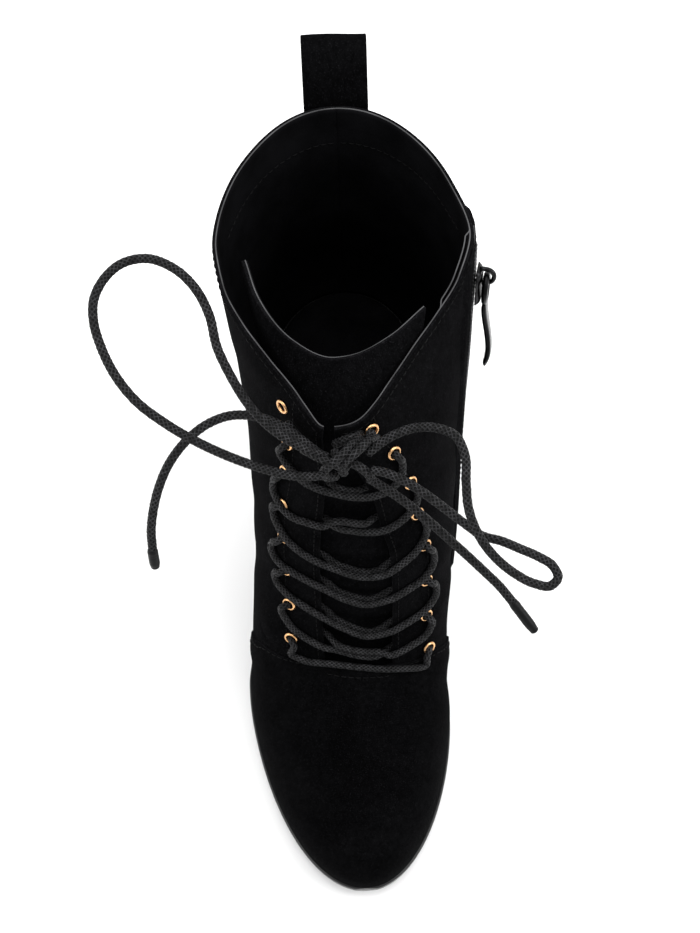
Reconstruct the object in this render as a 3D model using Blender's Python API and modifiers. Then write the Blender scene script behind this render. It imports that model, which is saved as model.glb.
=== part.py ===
"""Lace up ankle boot for the right foot, on a block heel, built as its maker's separate pieces.

The world frame is in metres: the toe points along -Y, the big toe's side is +X and the floor is Z = 0.
The origin is the middle of the heel's ground face. The tables hold millimetres, with every station
measured back from the tip of the toe, and to_world turns them into metres.
"""
import math

import bmesh
import bpy
import numpy as np
from mathutils import Matrix, Vector

MM = 0.001
ASSEMBLY = "ankle_boot"

# Driving sizes of the last, in millimetres.
HEEL_CENTRE = 205.0
BALL_LATERAL = 88.0
BALL_MEDIAL = 70.0
TOE_CURVE_LATERAL = 1.6
TOE_CURVE_MEDIAL = 1.7
TOE_BOX_RADIUS = 15.0
SECTION_POWER = 2.5
HEEL_ROUND_LOW = 33.0
HEEL_ROUND_TOP = 52.0
HEEL_POWER_LOW = 2.0
HEEL_POWER_TOP = 1.7

# Thicknesses and clearances, in millimetres.
SEAT_GAP = 0.3
SEAT_SLACK = 0.1
FEATHER_GAP = 0.4
WALL = 2.0
SOLE = 5.0
SOLE_EDGE = 0.6
INSOLE_INSET = 1.6
INSOLE = 2.0
TONGUE = 2.4
TONGUE_GAP = 0.8
HEEL_INSET = 1.0
TOP_PIECE = 6.0
LACE = 3.0

# The side view: station, top of the sole above the floor, height of the upper above the sole.
SIDE_VIEW = (
    (0, 12.5, 23.0),
    (12, 9.8, 26.5),
    (30, 7.0, 34.5),
    (44, 5.6, 40.0),
    (55, 5.0, 44.0),
    (66, 5.0, 48.0),
    (76, 5.0, 54.5),
    (82, 5.0, 67.0),
    (90, 6.6, 88.5),
    (100, 11.0, 115.0),
    (113, 19.5, 165.0),
    (123, 27.5, 200.0),
    (140, 44.0, 260.0),
    (160, 62.0, 330.0),
    (180, 74.0, 400.0),
    (200, 80.0, 470.0),
    (229, 84.0, 560.0),
)

# The back edge: height, station.
BACK_VIEW = (
    (70, 226.5),
    (84, 227.8),
    (95, 229.3),
    (108, 229.2),
    (125, 226.0),
    (150, 222.3),
    (175, 223.0),
    (206, 226.6),
    (230, 229.0),
)

# The collar's edge: station, height.
COLLAR_VIEW = (
    (0, 184.0),
    (112.7, 184.0),
    (120, 187.0),
    (127.5, 190.0),
    (138.5, 193.5),
    (147.5, 196.0),
    (157, 198.3),
    (176, 201.5),
    (191.5, 203.7),
    (207.5, 205.0),
    (226.5, 206.0),
    (240, 206.0),
)

# Half widths: station, then sole, ankle and collar on the little toe's side, then on the big toe's.
WIDTHS = (
    (0, 45.0, 43.0, 43.0, 36.2, 35.5, 36.0),
    (70, 45.0, 41.5, 38.0, 36.2, 37.5, 36.0),
    (88, 44.6, 38.5, 29.0, 34.5, 38.0, 33.0),
    (100, 42.4, 37.0, 22.0, 31.5, 38.5, 24.0),
    (113, 39.6, 36.5, 17.0, 28.5, 39.0, 17.5),
    (123, 37.2, 36.8, 21.0, 26.8, 39.8, 20.0),
    (135, 35.2, 37.2, 29.5, 25.6, 40.6, 26.5),
    (147, 33.5, 37.6, 37.0, 25.6, 41.4, 34.5),
    (160, 32.0, 38.2, 42.5, 26.8, 42.0, 42.0),
    (176, 31.0, 38.6, 44.6, 28.4, 42.0, 45.6),
    (195, 30.8, 37.8, 44.0, 29.4, 40.0, 43.6),
    (229, 30.8, 37.0, 43.0, 30.0, 38.5, 42.6),
)

# The instep's ridge: height, offset towards the big toe's side.
RIDGE = (
    (10, 1.0),
    (40, 3.0),
    (60, 5.5),
    (80, 6.0),
    (110, 4.5),
    (135, 1.5),
    (160, -3.0),
    (184, -6.5),
    (210, -7.0),
)

# The facings: height, lateral edge, medial edge.
FACINGS = (
    (58, -13.0, 13.5),
    (95, -13.0, 14.0),
    (112, -12.5, 13.5),
    (128, -11.5, 10.5),
    (145, -9.7, 7.8),
    (161, -9.0, 2.4),
    (178, -9.2, -4.2),
    (184, -8.6, -4.6),
)

# The eyelets, top pair first: lateral height and offset, medial height and offset.
EYELETS = (
    (178, -21.6, 179, 7.4),
    (163, -20.8, 164, 14.8),
    (148, -22.4, 147, 20.4),
    (132, -24.0, 131, 22.8),
    (116, -24.8, 113, 25.6),
    (100, -25.0, 95, 26.2),
    (84, -24.7, 77, 26.2),
    (67, -25.0, 59, 27.4),
)
EYELET_OUTER = 2.7
EYELET_BARREL = 2.15
EYELET_BORE = 1.65
EYELET_LIP = 0.8
EYELET_DEPTH = 1.9
EYELET_SIDES = 8

# The throat's lower end and the number of rings and columns of the upper.
THROAT_LEVEL = 0.295
VAMP_RINGS = 12
SHAFT_RINGS = 12
SIDE_COLUMNS = 20
THROAT_COLUMNS = 5
TURN_WEIGHT = 24.0
LOOP_TURN_WEIGHT = 6.0
LOOP_STEPS = 20
EDGE_JUMP = 2.0

# The tongue: level, inward lean at its middle, arc on the lateral side, arc on the medial side.
TONGUE_ROWS = (
    (0.275, 1.8, 16, 16),
    (0.34, 2.2, 24, 24),
    (0.50, 0.2, 31, 31),
    (0.70, 0.0, 33, 33),
    (0.86, 0.6, 37, 36),
    (0.94, 2.0, 42, 40),
    (1.00, 5.0, 51, 46),
    (1.075, 10.5, 62, 53),
)
TONGUE_STEPS = 16
TONGUE_COLUMNS = 13
TONGUE_EASING = 4
TONGUE_EASE = 0.4
TONGUE_EDGE_DROP = 0.05
TONGUE_EDGE_LEAN = 0.4

# The heel block's half width and front and back stations at the floor.
HEEL_FOOT_HALF = 26.5
HEEL_FOOT_FRONT = 184.0
HEEL_FOOT_BACK = 224.5
HEEL_SEAT_FRONT = 177.0
HEEL_WAIST = 0.10
HEEL_BOW = 0.72
HEEL_CROWD = 0.75
HEEL_RINGS = 6
TOP_PIECE_CHAMFER = 0.4

# The zip on the big toe's side: stations and heights of its ends, widths, slider and pull.
ZIP_TOP = (173.5, 198.6)
ZIP_FOOT = (123.0, 65.0)
ZIP_WIDTH = 6.0
ZIP_CHAIN = 1.2
ZIP_LIFT = 0.4
HINGE_DROP = 3.0
SLIDER_DROP = 4.0
SLIDER_LENGTH = 15.0
SLIDER_WIDTH = 8.4
SLIDER_THICK = 2.2
SLIDER_TOP_GAP = 10.0
PULL_THICK = 1.4
PULL_BAR = 1.4
ARCH_WIRE = 0.9
ARCH_CLEAR = 1.3
ARCH_HEADROOM = 1.4
ARCH_BEND = 1.0
ARCH_ROOT = 0.8
HINGE_LIFT = 0.5

# The pull tab's outline and its eye: offset across the tab, distance along it from the hinge.
PULL_EDGE = (
    (-4.6, 0.7),
    (4.6, 0.7),
    (5.2, -4),
    (4.4, -11),
    (3.4, -16),
    (3.2, -35),
    (2.0, -37.4),
    (-2.0, -37.4),
    (-3.2, -35),
    (-3.4, -16),
    (-4.4, -11),
    (-5.2, -4),
)
PULL_EYE = (
    (-2.6, -0.7),
    (-3.2, -4),
    (-2.6, -9.5),
    (2.6, -9.5),
    (3.2, -4),
    (2.6, -0.7),
)

# The loop behind the collar: width and thickness of its tape, and its path as station and height.
LOOP_WIDTH = 22.0
LOOP_TAPE = 1.5
LOOP_PATH = (
    (224.9, 184.0),
    (226.2, 195.0),
    (228.1, 206.0),
    (230.6, 213.0),
    (233.2, 219.5),
    (236.2, 225.3),
    (239.4, 227.6),
    (242.4, 226.2),
    (243.6, 222.0),
    (242.4, 216.5),
    (239.0, 211.0),
    (234.0, 206.0),
    (230.4, 201.0),
    (228.4, 195.0),
    (227.2, 184.0),
)

# Routes of the free lace: offset, station, height, chosen by hand along the bow.
LEFT_LOOP = (
    (-7.6, 103.9, 182.3), (-12, 104.6, 184.8), (-18, 106.5, 188), (-25, 110, 192.5), (-32, 116, 198.5),
    (-37, 123, 204.5), (-41, 131, 210), (-43, 140, 214.5), (-47, 148, 217.5), (-54, 155, 219.5), (-62, 158, 221),
    (-70, 156, 222), (-76, 150, 222), (-79, 143, 221), (-79, 136, 219), (-77, 129, 216), (-73, 121, 212),
    (-67, 114, 207.5), (-58, 108, 202.5), (-48, 103.5, 197), (-38, 100.5, 191.5), (-28, 98.7, 186),
    (-19, 98, 181.5), (-13, 98.4, 179.4), (-9.1, 99.2, 178.5),
)
LEFT_END = (
    (-8.5, 106.4, 177), (-13, 110, 178), (-18, 113.7, 180), (-24, 117, 182.5), (-31, 118.5, 185), (-38.5, 118, 187),
    (-46, 115, 187.5), (-53, 110, 186), (-59, 104, 182), (-63, 98, 176.5), (-65.5, 93, 170), (-67, 88.5, 163),
    (-67.3, 85, 156.5),
)
RIGHT_LOOP = (
    (6, 104.9, 181.8), (10, 107.3, 183.7), (16, 109.5, 186.4), (22, 110, 188.8), (29, 108.5, 190.6), (34.5, 105, 191),
    (37, 99, 189.5), (37, 91, 186), (37.5, 84, 181.5), (40, 77.5, 177), (45, 71, 172.5), (51.5, 66, 169),
    (58, 62.8, 167), (63.5, 62.2, 166), (66, 64.6, 166.5), (64.5, 68.2, 168), (60, 71, 169.5), (54, 73.5, 171),
    (48, 75.8, 172.6), (42.2, 78.8, 170.5), (36, 83, 172.5), (29, 87.7, 176), (22, 92.3, 179), (15, 96.4, 180.5),
    (10.5, 98.6, 180.2), (7.3, 99.6, 179.8),
)
RIGHT_END = (
    (5.9, 99.6, 173.8), (10, 97.2, 172.6), (15, 94, 171), (20, 90.5, 169), (25, 86.7, 166.5), (31, 82, 163),
    (37, 77.5, 159), (43, 73, 154.5), (48.5, 68.8, 150), (52.5, 65, 146),
)
LATERAL_LEAD = (
    (-20.4, 119.4, 177.5), (-17.8, 115.7, 176.1), (-14.9, 111.7, 174.8), (-11.6, 108.7, 173.9), (-7.8, 106.8, 173.5),
)
MEDIAL_LEAD = ((7.6, 112.6, 182.4), (6.4, 110.8, 181), (4.3, 108.3, 178.5))
KNOT_CENTRE = (-0.8, 102.5, 178.0)
KNOT_HALF = (9.0, 6.5, 6.0)
TIP_RADIUS = 1.9
LEFT_TIP = ((-67.4, 84.8, 156.1), (-67.2, 81.6, 149.0))
RIGHT_TIP = ((52.75, 64.76, 145.75), (60.0, 57.4, 137.8))

# The lacing: gap above the facings, gap to an eyelet, gap to a facing's edge, and how a strand rises.
LACING_LIFT = 0.7
EYELET_CLEAR = 0.8
FACING_CLEAR = 0.9
START_SHARE = 0.35
START_ABOVE = 4.0
FIRST_LIFT = 0.15
LIFT_SLOPE = 2.0
STRAND_STEPS = 7
BAR_STEPS = 6

# Colour, roughness and metallic value of each finish.
FINISHES = {
    "suede_black": ((0.018, 0.018, 0.020, 1.0), 0.95, 0.0),
    "lining_black": ((0.012, 0.012, 0.014, 1.0), 0.85, 0.0),
    "rubber_black": ((0.010, 0.010, 0.011, 1.0), 0.35, 0.0),
    "lace_black": ((0.020, 0.020, 0.022, 1.0), 0.45, 0.0),
    "eyelet_gold": ((0.80, 0.50, 0.30, 1.0), 0.28, 1.0),
    "zip_gunmetal": ((0.16, 0.16, 0.17, 1.0), 0.32, 1.0),
}


def column(table, index):
    """One column of a table as an array."""
    return np.array([row[index] for row in table], float)


def smooth(x, stations, values):
    """A smooth curve through the table's values that never overshoots between them."""
    x = np.asarray(x, float)
    step = np.diff(stations)
    slope = np.diff(values) / step
    tangent = np.zeros_like(values)
    tangent[0], tangent[-1] = slope[0], slope[-1]
    before, after = slope[:-1], slope[1:]
    heavy, light = 2 * step[1:] + step[:-1], step[1:] + 2 * step[:-1]
    same_way = before * after > 0
    safe_before = np.where(same_way, before, 1.0)
    safe_after = np.where(same_way, after, 1.0)
    tangent[1:-1] = np.where(same_way, (heavy + light) / (heavy / safe_before + light / safe_after), 0.0)
    k = np.clip(np.searchsorted(stations, x) - 1, 0, len(step) - 1)
    t = np.clip((x - stations[k]) / step[k], 0, 1)
    held = (2 * t**3 - 3 * t**2 + 1) * values[k] + (3 * t**2 - 2 * t**3) * values[k + 1]
    turned = (t**3 - 2 * t**2 + t) * tangent[k] + (t**3 - t**2) * tangent[k + 1]
    return held + turned * step[k]


def rounding(t, power):
    """Rises from 0 to 1 like the side of a rounded end as t goes from 0 to 1."""
    return np.sqrt(1 - (1 - np.clip(t, 0, 1)) ** power)


def sole_top(s):
    return smooth(s, column(SIDE_VIEW, 0), column(SIDE_VIEW, 1))


def feather(s):
    return sole_top(s) + FEATHER_GAP


def cover(s):
    rise = smooth(s, column(SIDE_VIEW, 0), column(SIDE_VIEW, 2))
    return rise * rounding(np.asarray(s) / TOE_BOX_RADIUS, 2.0)


def back_edge(z):
    return smooth(z, column(BACK_VIEW, 0), column(BACK_VIEW, 1))


def collar_edge(s):
    return smooth(s, column(COLLAR_VIEW, 0), column(COLLAR_VIEW, 1))


def ridge(z):
    return smooth(z, column(RIDGE, 0), column(RIDGE, 1))


def height(s, level):
    """Height of a ring of the upper: level 0 runs along the sole and level 1 along the collar."""
    return (1 - level) * feather(s) + level * collar_edge(s)


def level_at(s, z):
    return (z - feather(s)) / (collar_edge(s) - feather(s))


def half_width(s, level, side):
    """Half width before the ends are rounded, blended between sole, ankle and collar."""
    first = 1 if side < 0 else 4
    low, mid, top = (smooth(s, column(WIDTHS, 0), column(WIDTHS, first + i)) for i in range(3))
    reach = BALL_LATERAL if side < 0 else BALL_MEDIAL
    power = TOE_CURVE_LATERAL if side < 0 else TOE_CURVE_MEDIAL
    blend = (1 - level) * (1 - 2 * level) * low + 4 * level * (1 - level) * mid + level * (2 * level - 1) * top
    return blend * rounding(s / reach, power)


def outer_offset(s, level, side):
    """Sideways place of the upper's outer face, to the little toe for side -1 and the big toe for 1."""
    z = height(s, level)
    rise = np.clip((z - feather(s)) / np.maximum(cover(s), 1e-6), 0, 1)
    across = (1 - rise**SECTION_POWER) ** (1 / SECTION_POWER)
    reach = HEEL_ROUND_LOW + (HEEL_ROUND_TOP - HEEL_ROUND_LOW) * level
    power = HEEL_POWER_LOW + (HEEL_POWER_TOP - HEEL_POWER_LOW) * level
    behind = rounding((back_edge(z) - s) / reach, power)
    middle = ridge(z)
    return behind * (middle + side * (half_width(s, level, side) - side * middle) * across)


def crossing(values, places):
    """The first place where the values fall below zero."""
    k = max(int(np.argmax(values < 0)), 1)
    return places[k - 1] + (places[k] - places[k - 1]) * values[k - 1] / (values[k - 1] - values[k])


def ring_ends(level):
    """Stations where a ring meets the instep's ridge in front and the back edge behind."""
    front = np.linspace(0, 150, 1501)
    above = height(front, level) - feather(front) - cover(front)
    start = 0.0 if level <= 0 else crossing(above, front)
    rear = np.linspace(190, 236, 461)
    return start, crossing(back_edge(height(rear, level)) - rear, rear)


def ring(level, side, count=300):
    """One side of a ring as a fine polyline from the ridge in front to the back edge."""
    start, end = ring_ends(level)
    s = start + (end - start) * (1 - np.cos(np.linspace(0, math.pi, count))) / 2
    x = outer_offset(s, level, side)
    x[0], x[-1] = ridge(height(s[:1], level))[0], 0.0
    return np.stack([x, s, height(s, level)], 1)


def split_at(points, edge, side):
    """The polyline before and after the place where its offset reaches the edge."""
    k = max(int(np.argmax(side * (points[:, 0] - edge) >= 0)), 1)
    share = (edge - points[k - 1, 0]) / (points[k, 0] - points[k - 1, 0])
    joint = points[k - 1] + share * (points[k] - points[k - 1])
    return np.vstack([points[:k], joint]), np.vstack([joint, points[k:]])


def resample(points, count, turn_weight=TURN_WEIGHT):
    """Points spread along a polyline by its length, closer together where it turns."""
    steps = np.diff(points, axis=0)
    lengths = np.linalg.norm(steps, axis=1)
    heading = steps / np.maximum(lengths, 1e-9)[:, None]
    turning = np.arccos(np.clip((heading[:-1] * heading[1:]).sum(1), -1, 1))
    weight = lengths + turn_weight * np.append(turning, 0.0)
    along = np.append(0.0, np.cumsum(weight))
    places = np.linspace(0, along[-1], count)
    return np.stack([np.interp(places, along, points[:, i]) for i in range(3)], 1)


def ring_levels():
    """Levels whose front points lie evenly along the vamp, and then evenly up the throat."""
    fine = np.linspace(0, THROAT_LEVEL, 80)
    front = np.array([(ring_ends(v)[0], height(np.array([ring_ends(v)[0]]), v)[0]) for v in fine])
    along = np.append(0.0, np.cumsum(np.linalg.norm(np.diff(front, axis=0), axis=1)))
    vamp = np.interp(np.linspace(0, along[-1], VAMP_RINGS + 1), along, fine)
    shaft = np.linspace(THROAT_LEVEL, 1.0, SHAFT_RINGS + 1)[1:]
    return np.append(vamp, shaft)


def facing_edges(level):
    z = height(np.array([ring_ends(level)[0]]), level)[0]
    return [float(smooth(z, column(FACINGS, 0), column(FACINGS, i))) for i in (1, 2)]


def upper_grids():
    """Rows round the foot from one facing to the other, and rows across the front below the throat."""
    around, across = [], []
    for level in ring_levels():
        lateral_edge, medial_edge = facing_edges(level)
        lateral_front, lateral = split_at(ring(level, -1), lateral_edge, -1)
        medial_front, medial = split_at(ring(level, 1), medial_edge, 1)
        around.append(np.vstack([resample(lateral, SIDE_COLUMNS), resample(medial, SIDE_COLUMNS)[::-1][1:]]))
        if level <= THROAT_LEVEL + 1e-9:
            across.append(resample(np.vstack([medial_front[::-1], lateral_front[1:]]), THROAT_COLUMNS))
    return np.array(around), np.array(across)


def surface_station(x, z):
    """Station of the upper's front surface at an offset and a height."""
    side = -1 if x < ridge(z) else 1
    s = np.linspace(30, 178, 2961)
    reach = side * (outer_offset(s, level_at(s, z), side) - x)
    inside = (z - feather(s) < cover(s)) & (reach >= 0)
    k = int(np.argmax(inside))
    close = reach[k - 1] > -EDGE_JUMP
    share = reach[k - 1] / (reach[k - 1] - reach[k]) if close else 1.0
    return s[k - 1] + (s[k] - s[k - 1]) * share


def facing_frame(x, z, step=1.0):
    """Point and outward normal of the front surface, in table coordinates."""
    across = (surface_station(x + step, z) - surface_station(x - step, z)) / (2 * step)
    up = (surface_station(x, z + step) - surface_station(x, z - step)) / (2 * step)
    normal = np.array([across, -1.0, up])
    return np.array([x, surface_station(x, z), z]), normal / np.linalg.norm(normal)


def grid_normals(points):
    """Unit normals of a grid of points from its own rows and columns."""
    along = np.gradient(points, axis=0)
    across = np.gradient(points, axis=1)
    normal = np.cross(across, along)
    return normal / np.linalg.norm(normal, axis=2, keepdims=True)


def to_world(points):
    """Table coordinates in millimetres to world coordinates in metres."""
    points = np.asarray(points, float)
    return (points - np.array([0.0, HEEL_CENTRE, 0.0])) * MM


def finish(name):
    """The material of one finish, made once."""
    material = bpy.data.materials.get(name)
    if material is None:
        color, roughness, metallic = FINISHES[name]
        material = bpy.data.materials.new(name)
        material.use_nodes = True
        shader = material.node_tree.nodes["Principled BSDF"]
        shader.inputs["Base Color"].default_value = color
        shader.inputs["Roughness"].default_value = roughness
        shader.inputs["Metallic"].default_value = metallic
    return material


def add_object(name, mesh, material, collection="parts"):
    item = bpy.data.objects.new(name, mesh)
    COLLECTIONS[collection].objects.link(item)
    if material:
        mesh.materials.append(finish(material))
    mesh.shade_smooth()
    return item


def add_grid(bm, points, flip=False):
    """Quads between the points of a grid."""
    verts = [[bm.verts.new(p) for p in row] for row in to_world(points)]
    for low, high in zip(verts, verts[1:]):
        for i in range(len(low) - 1):
            loop = (low[i], high[i], high[i + 1], low[i + 1])
            bm.faces.new(loop[::-1] if flip else loop)


def grid_mesh(name, grids, flip=False):
    """One mesh of joined grids, with the points that they share merged."""
    bm = bmesh.new()
    for points in grids:
        add_grid(bm, points, flip)
    bmesh.ops.remove_doubles(bm, verts=bm.verts, dist=1e-6)
    bmesh.ops.dissolve_degenerate(bm, edges=bm.edges, dist=1e-6)
    mesh = bpy.data.meshes.new(name)
    bm.to_mesh(mesh)
    bm.free()
    return mesh


def thicken(item, thickness, offset):
    """Solidify, in millimetres: offset -1 grows inwards from the faces, 1 outwards."""
    solid = item.modifiers.new("thickness", "SOLIDIFY")
    solid.thickness = thickness * MM
    solid.offset = offset
    solid.use_even_offset = True


def cut(item, cutter, operation="DIFFERENCE"):
    boolean = item.modifiers.new("cut", "BOOLEAN")
    boolean.operation = operation
    boolean.object = cutter
    boolean.solver = "EXACT"


def apply_modifiers(item):
    """The evaluated shape as the object's own mesh, with coincident points merged."""
    graph = bpy.context.evaluated_depsgraph_get()
    mesh = bpy.data.meshes.new_from_object(item.evaluated_get(graph))
    item.modifiers.clear()
    weld(mesh)
    item.data = mesh


def weld(mesh, distance=1e-6):
    bm = bmesh.new()
    bm.from_mesh(mesh)
    bmesh.ops.remove_doubles(bm, verts=bm.verts, dist=distance)
    bm.to_mesh(mesh)
    bm.free()


def outline_rows(inset, stations, front=0.0, back=1e9):
    """Pairs of offsets of the sole's outline moved inwards, at the given shares of its length."""
    sides = []
    for side in (-1, 1):
        points = ring(0.0, side, 500)[:, :2]
        tangent = np.gradient(points, axis=0)
        normal = np.stack([-tangent[:, 1], tangent[:, 0]], 1) * side
        normal /= np.maximum(np.linalg.norm(normal, axis=1, keepdims=True), 1e-9)
        moved = points + normal * inset
        moved = moved[side * moved[:, 0] >= 0]
        sides.append(moved)
    start = max(sides[0][:, 1].min(), sides[1][:, 1].min(), front)
    end = min(sides[0][:, 1].max(), sides[1][:, 1].max(), back)
    s = start + (end - start) * stations
    offsets = [np.interp(s, side[:, 1], side[:, 0]) for side in sides]
    return s, offsets[0], offsets[1]


def plank_grid(inset, rows, columns, height_of):
    """A grid across the sole's outline whose rows crowd towards toe and heel."""
    shares = (1 - np.cos(np.linspace(0.0, math.pi, rows))) / 2
    s, left, right = outline_rows(inset, shares)
    left[0] = right[0] = (left[0] + right[0]) / 2
    left[-1] = right[-1] = (left[-1] + right[-1]) / 2
    u = np.linspace(0, 1, columns)
    x = left[:, None] * (1 - u) + right[:, None] * u
    z = np.repeat(height_of(s)[:, None], columns, axis=1)
    return np.stack([x, np.repeat(s[:, None], columns, axis=1), z], 2)


def make_outsole():
    mesh = grid_mesh("outsole", [plank_grid(-SOLE_EDGE, 40, 7, sole_top)], flip=True)
    item = add_object("outsole", mesh, "rubber_black")
    thicken(item, SOLE, -1.0)
    return item


def make_insole():
    lift = 2.0 * SEAT_GAP
    mesh = grid_mesh("insole", [plank_grid(WALL + INSOLE_INSET, 32, 5, lambda s: sole_top(s) + lift)], flip=True)
    item = add_object("insole", mesh, "lining_black")
    thicken(item, INSOLE, 1.0)
    return item


def stacked_solid(name, rings, material):
    """A closed solid from rings that share one order: front corners, then pairs of points to the back."""
    bm = bmesh.new()
    stack = [[bm.verts.new(p) for p in to_world(r)] for r in rings]
    count = len(stack[0])
    for low, high in zip(stack, stack[1:]):
        for i in range(count):
            j = (i + 1) % count
            bm.faces.new((low[i], low[j], high[j], high[i]))
    for verts, flip in ((stack[0], True), (stack[-1], False)):
        pairs = count // 2
        for i in range(pairs):
            a, b, c, d = verts[i], verts[i + 1], verts[-2 - i], verts[-1 - i]
            loop = (a, b, c, d) if b is not c else (a, b, d)
            bm.faces.new(loop[::-1] if flip else loop)
    bmesh.ops.recalc_face_normals(bm, faces=bm.faces)
    mesh = bpy.data.meshes.new(name)
    bm.to_mesh(mesh)
    bm.free()
    return add_object(name, mesh, material)


def heel_ring(share, z_of, inset=0.0, count=12):
    """A D-shaped outline between the heel's foot (share 0) and its seat under the sole (share 1)."""
    t = np.linspace(0, 1, count + 1) ** HEEL_CROWD
    seat_s, seat_left, seat_right = outline_rows(HEEL_INSET, t, HEEL_SEAT_FRONT)
    foot_s = HEEL_FOOT_FRONT + (HEEL_FOOT_BACK - HEEL_FOOT_FRONT) * t
    bow = rounding((1 - t) / HEEL_BOW, 2.0)
    s = (1 - share) * foot_s + share * seat_s
    left = (1 - share) * (-HEEL_FOOT_HALF * bow) + share * seat_left
    right = (1 - share) * (HEEL_FOOT_HALF * bow) + share * seat_right
    waist = 1 - HEEL_WAIST * math.sin(math.pi * share)
    left, right = left * waist + inset, right * waist - inset
    middle = (left[-1] + right[-1]) / 2
    lateral = np.stack([left, s, z_of(s)], 1)[:-1]
    medial = np.stack([right, s, z_of(s)], 1)[:-1]
    apex = np.array([[middle, s[-1], z_of(s[-1:])[0]]])
    return np.vstack([lateral, apex, medial[::-1]])


def heel_seat_height(s):
    """Underside of the sole, less the gap to the heel."""
    slope = np.gradient(sole_top(np.stack([s - 0.5, s, s + 0.5])), 0.5, axis=0)[1]
    return sole_top(s) - SOLE * np.sqrt(1 + slope**2) - SEAT_GAP


def make_heel():
    floor = TOP_PIECE + SEAT_GAP

    def blended(share):
        return lambda s: (1 - share) * floor + share * (heel_seat_height(s) - SEAT_SLACK)

    rings = [heel_ring(share, blended(share)) for share in np.linspace(0, 1, HEEL_RINGS)]
    stacked_solid("heel_block", rings, "suede_black")
    ground = heel_ring(0.0, np.zeros_like, TOP_PIECE_CHAMFER)
    top = heel_ring(0.0, lambda s: np.full_like(s, TOP_PIECE))
    stacked_solid("heel_top_piece", [ground, top], "rubber_black")


def make_upper():
    around, across = upper_grids()
    item = add_object("upper", grid_mesh("upper", [around, across]), "suede_black")
    thicken(item, WALL, -1.0)
    return item


def tongue_point(row, fraction):
    """A point of the tongue: fraction -1 is its lateral edge, 0 the ridge and 1 its medial edge."""
    level, _, lateral_arc, medial_arc = row
    side = -1 if fraction < 0 else 1
    reach = abs(fraction) * (lateral_arc if side < 0 else medial_arc)
    points = ring(level * (1 - TONGUE_EDGE_DROP * fraction**2 * level), side)
    along = np.append(0.0, np.cumsum(np.linalg.norm(np.diff(points, axis=0), axis=1)))
    return [np.interp(reach, along, points[:, i]) for i in range(3)]


def make_tongue():
    levels = column(TONGUE_ROWS, 0)
    places = np.linspace(levels[0], levels[-1], TONGUE_STEPS)
    rows = [[float(smooth(v, levels, column(TONGUE_ROWS, i))) for i in range(4)] for v in places]
    fractions = np.linspace(-1, 1, TONGUE_COLUMNS)
    face = np.array([[tongue_point(row, f) for f in fractions] for row in rows])
    lean = np.array([row[1] for row in rows])[:, None] * (1 - (1 - TONGUE_EDGE_LEAN) * fractions[None, :] ** 2)
    inward = (WALL + TONGUE_GAP + lean)[:, :, None]
    face = face - grid_normals(face) * inward
    for _ in range(TONGUE_EASING):
        face[:, 1:-1] += TONGUE_EASE * ((face[:, 2:] + face[:, :-2]) / 2 - face[:, 1:-1])
    item = add_object("tongue", grid_mesh("tongue", [face], flip=True), "suede_black")
    thicken(item, TONGUE, -1.0)
    return item


def turned(name, profile, steps, material):
    """A turned piece about its own Z axis from a closed profile of radius and height in millimetres."""
    bm = bmesh.new()
    verts = [bm.verts.new((r * MM, 0.0, z * MM)) for r, z in profile]
    for i, vert in enumerate(verts):
        bm.edges.new((vert, verts[(i + 1) % len(verts)]))
    mesh = bpy.data.meshes.new(name)
    bm.to_mesh(mesh)
    bm.free()
    item = add_object(name, mesh, material)
    screw = item.modifiers.new("turn", "SCREW")
    screw.angle = math.tau
    screw.steps = steps
    screw.render_steps = steps
    screw.use_merge_vertices = True
    screw.merge_threshold = 1e-6
    return item


def place(item, point, normal):
    """Puts an object's own Z axis along a table normal, at a table point."""
    direction = Vector(normal).normalized()
    item.matrix_world = Matrix.Translation(to_world(point)) @ direction.to_track_quat("Z", "Y").to_matrix().to_4x4()


def eyelet_frames():
    """Name, point and normal of every eyelet, top pair first."""
    for number, (lateral_z, lateral_x, medial_z, medial_x) in enumerate(EYELETS, 1):
        yield f"eyelet_lateral_{number}", *facing_frame(lateral_x, lateral_z)
        yield f"eyelet_medial_{number}", *facing_frame(medial_x, medial_z)


def make_eyelets(upper):
    lip = SEAT_GAP + EYELET_LIP
    profile = (
        (EYELET_OUTER, lip),
        (EYELET_OUTER, SEAT_GAP),
        (EYELET_BARREL, SEAT_GAP),
        (EYELET_BARREL, -EYELET_DEPTH),
        (EYELET_BORE, -EYELET_DEPTH),
        (EYELET_BORE, lip),
    )
    for name, point, normal in eyelet_frames():
        place(turned(name, profile, EYELET_SIDES, "eyelet_gold"), point, normal)
    bm = bmesh.new()
    for _, point, normal in eyelet_frames():
        direction = Vector(normal).normalized().to_track_quat("Z", "Y").to_matrix().to_4x4()
        where = Matrix.Translation(to_world(point)) @ direction
        hole = (EYELET_BARREL + SEAT_GAP) * MM
        bmesh.ops.create_cone(
            bm, cap_ends=True, segments=EYELET_SIDES, radius1=hole, radius2=hole, depth=4 * WALL * MM, matrix=where
        )
    mesh = bpy.data.meshes.new("eyelet_holes")
    bm.to_mesh(mesh)
    bm.free()
    cutter = add_object("eyelet_holes", mesh, None, "cutters")
    cutter.hide_render = True
    cutter.display_type = "WIRE"
    cut(upper, cutter)


def make_pull_loop():
    half = LOOP_WIDTH / 2
    path = resample(np.array([(0.0, s, z) for s, z in LOOP_PATH]), LOOP_STEPS, LOOP_TURN_WEIGHT)
    grid = np.stack([path + (x, 0.0, 0.0) for x in np.linspace(-half, half, 3)], 1)
    item = add_object("pull_loop", grid_mesh("pull_loop", [grid]), "suede_black")
    thicken(item, LOOP_TAPE, 0.0)


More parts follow.
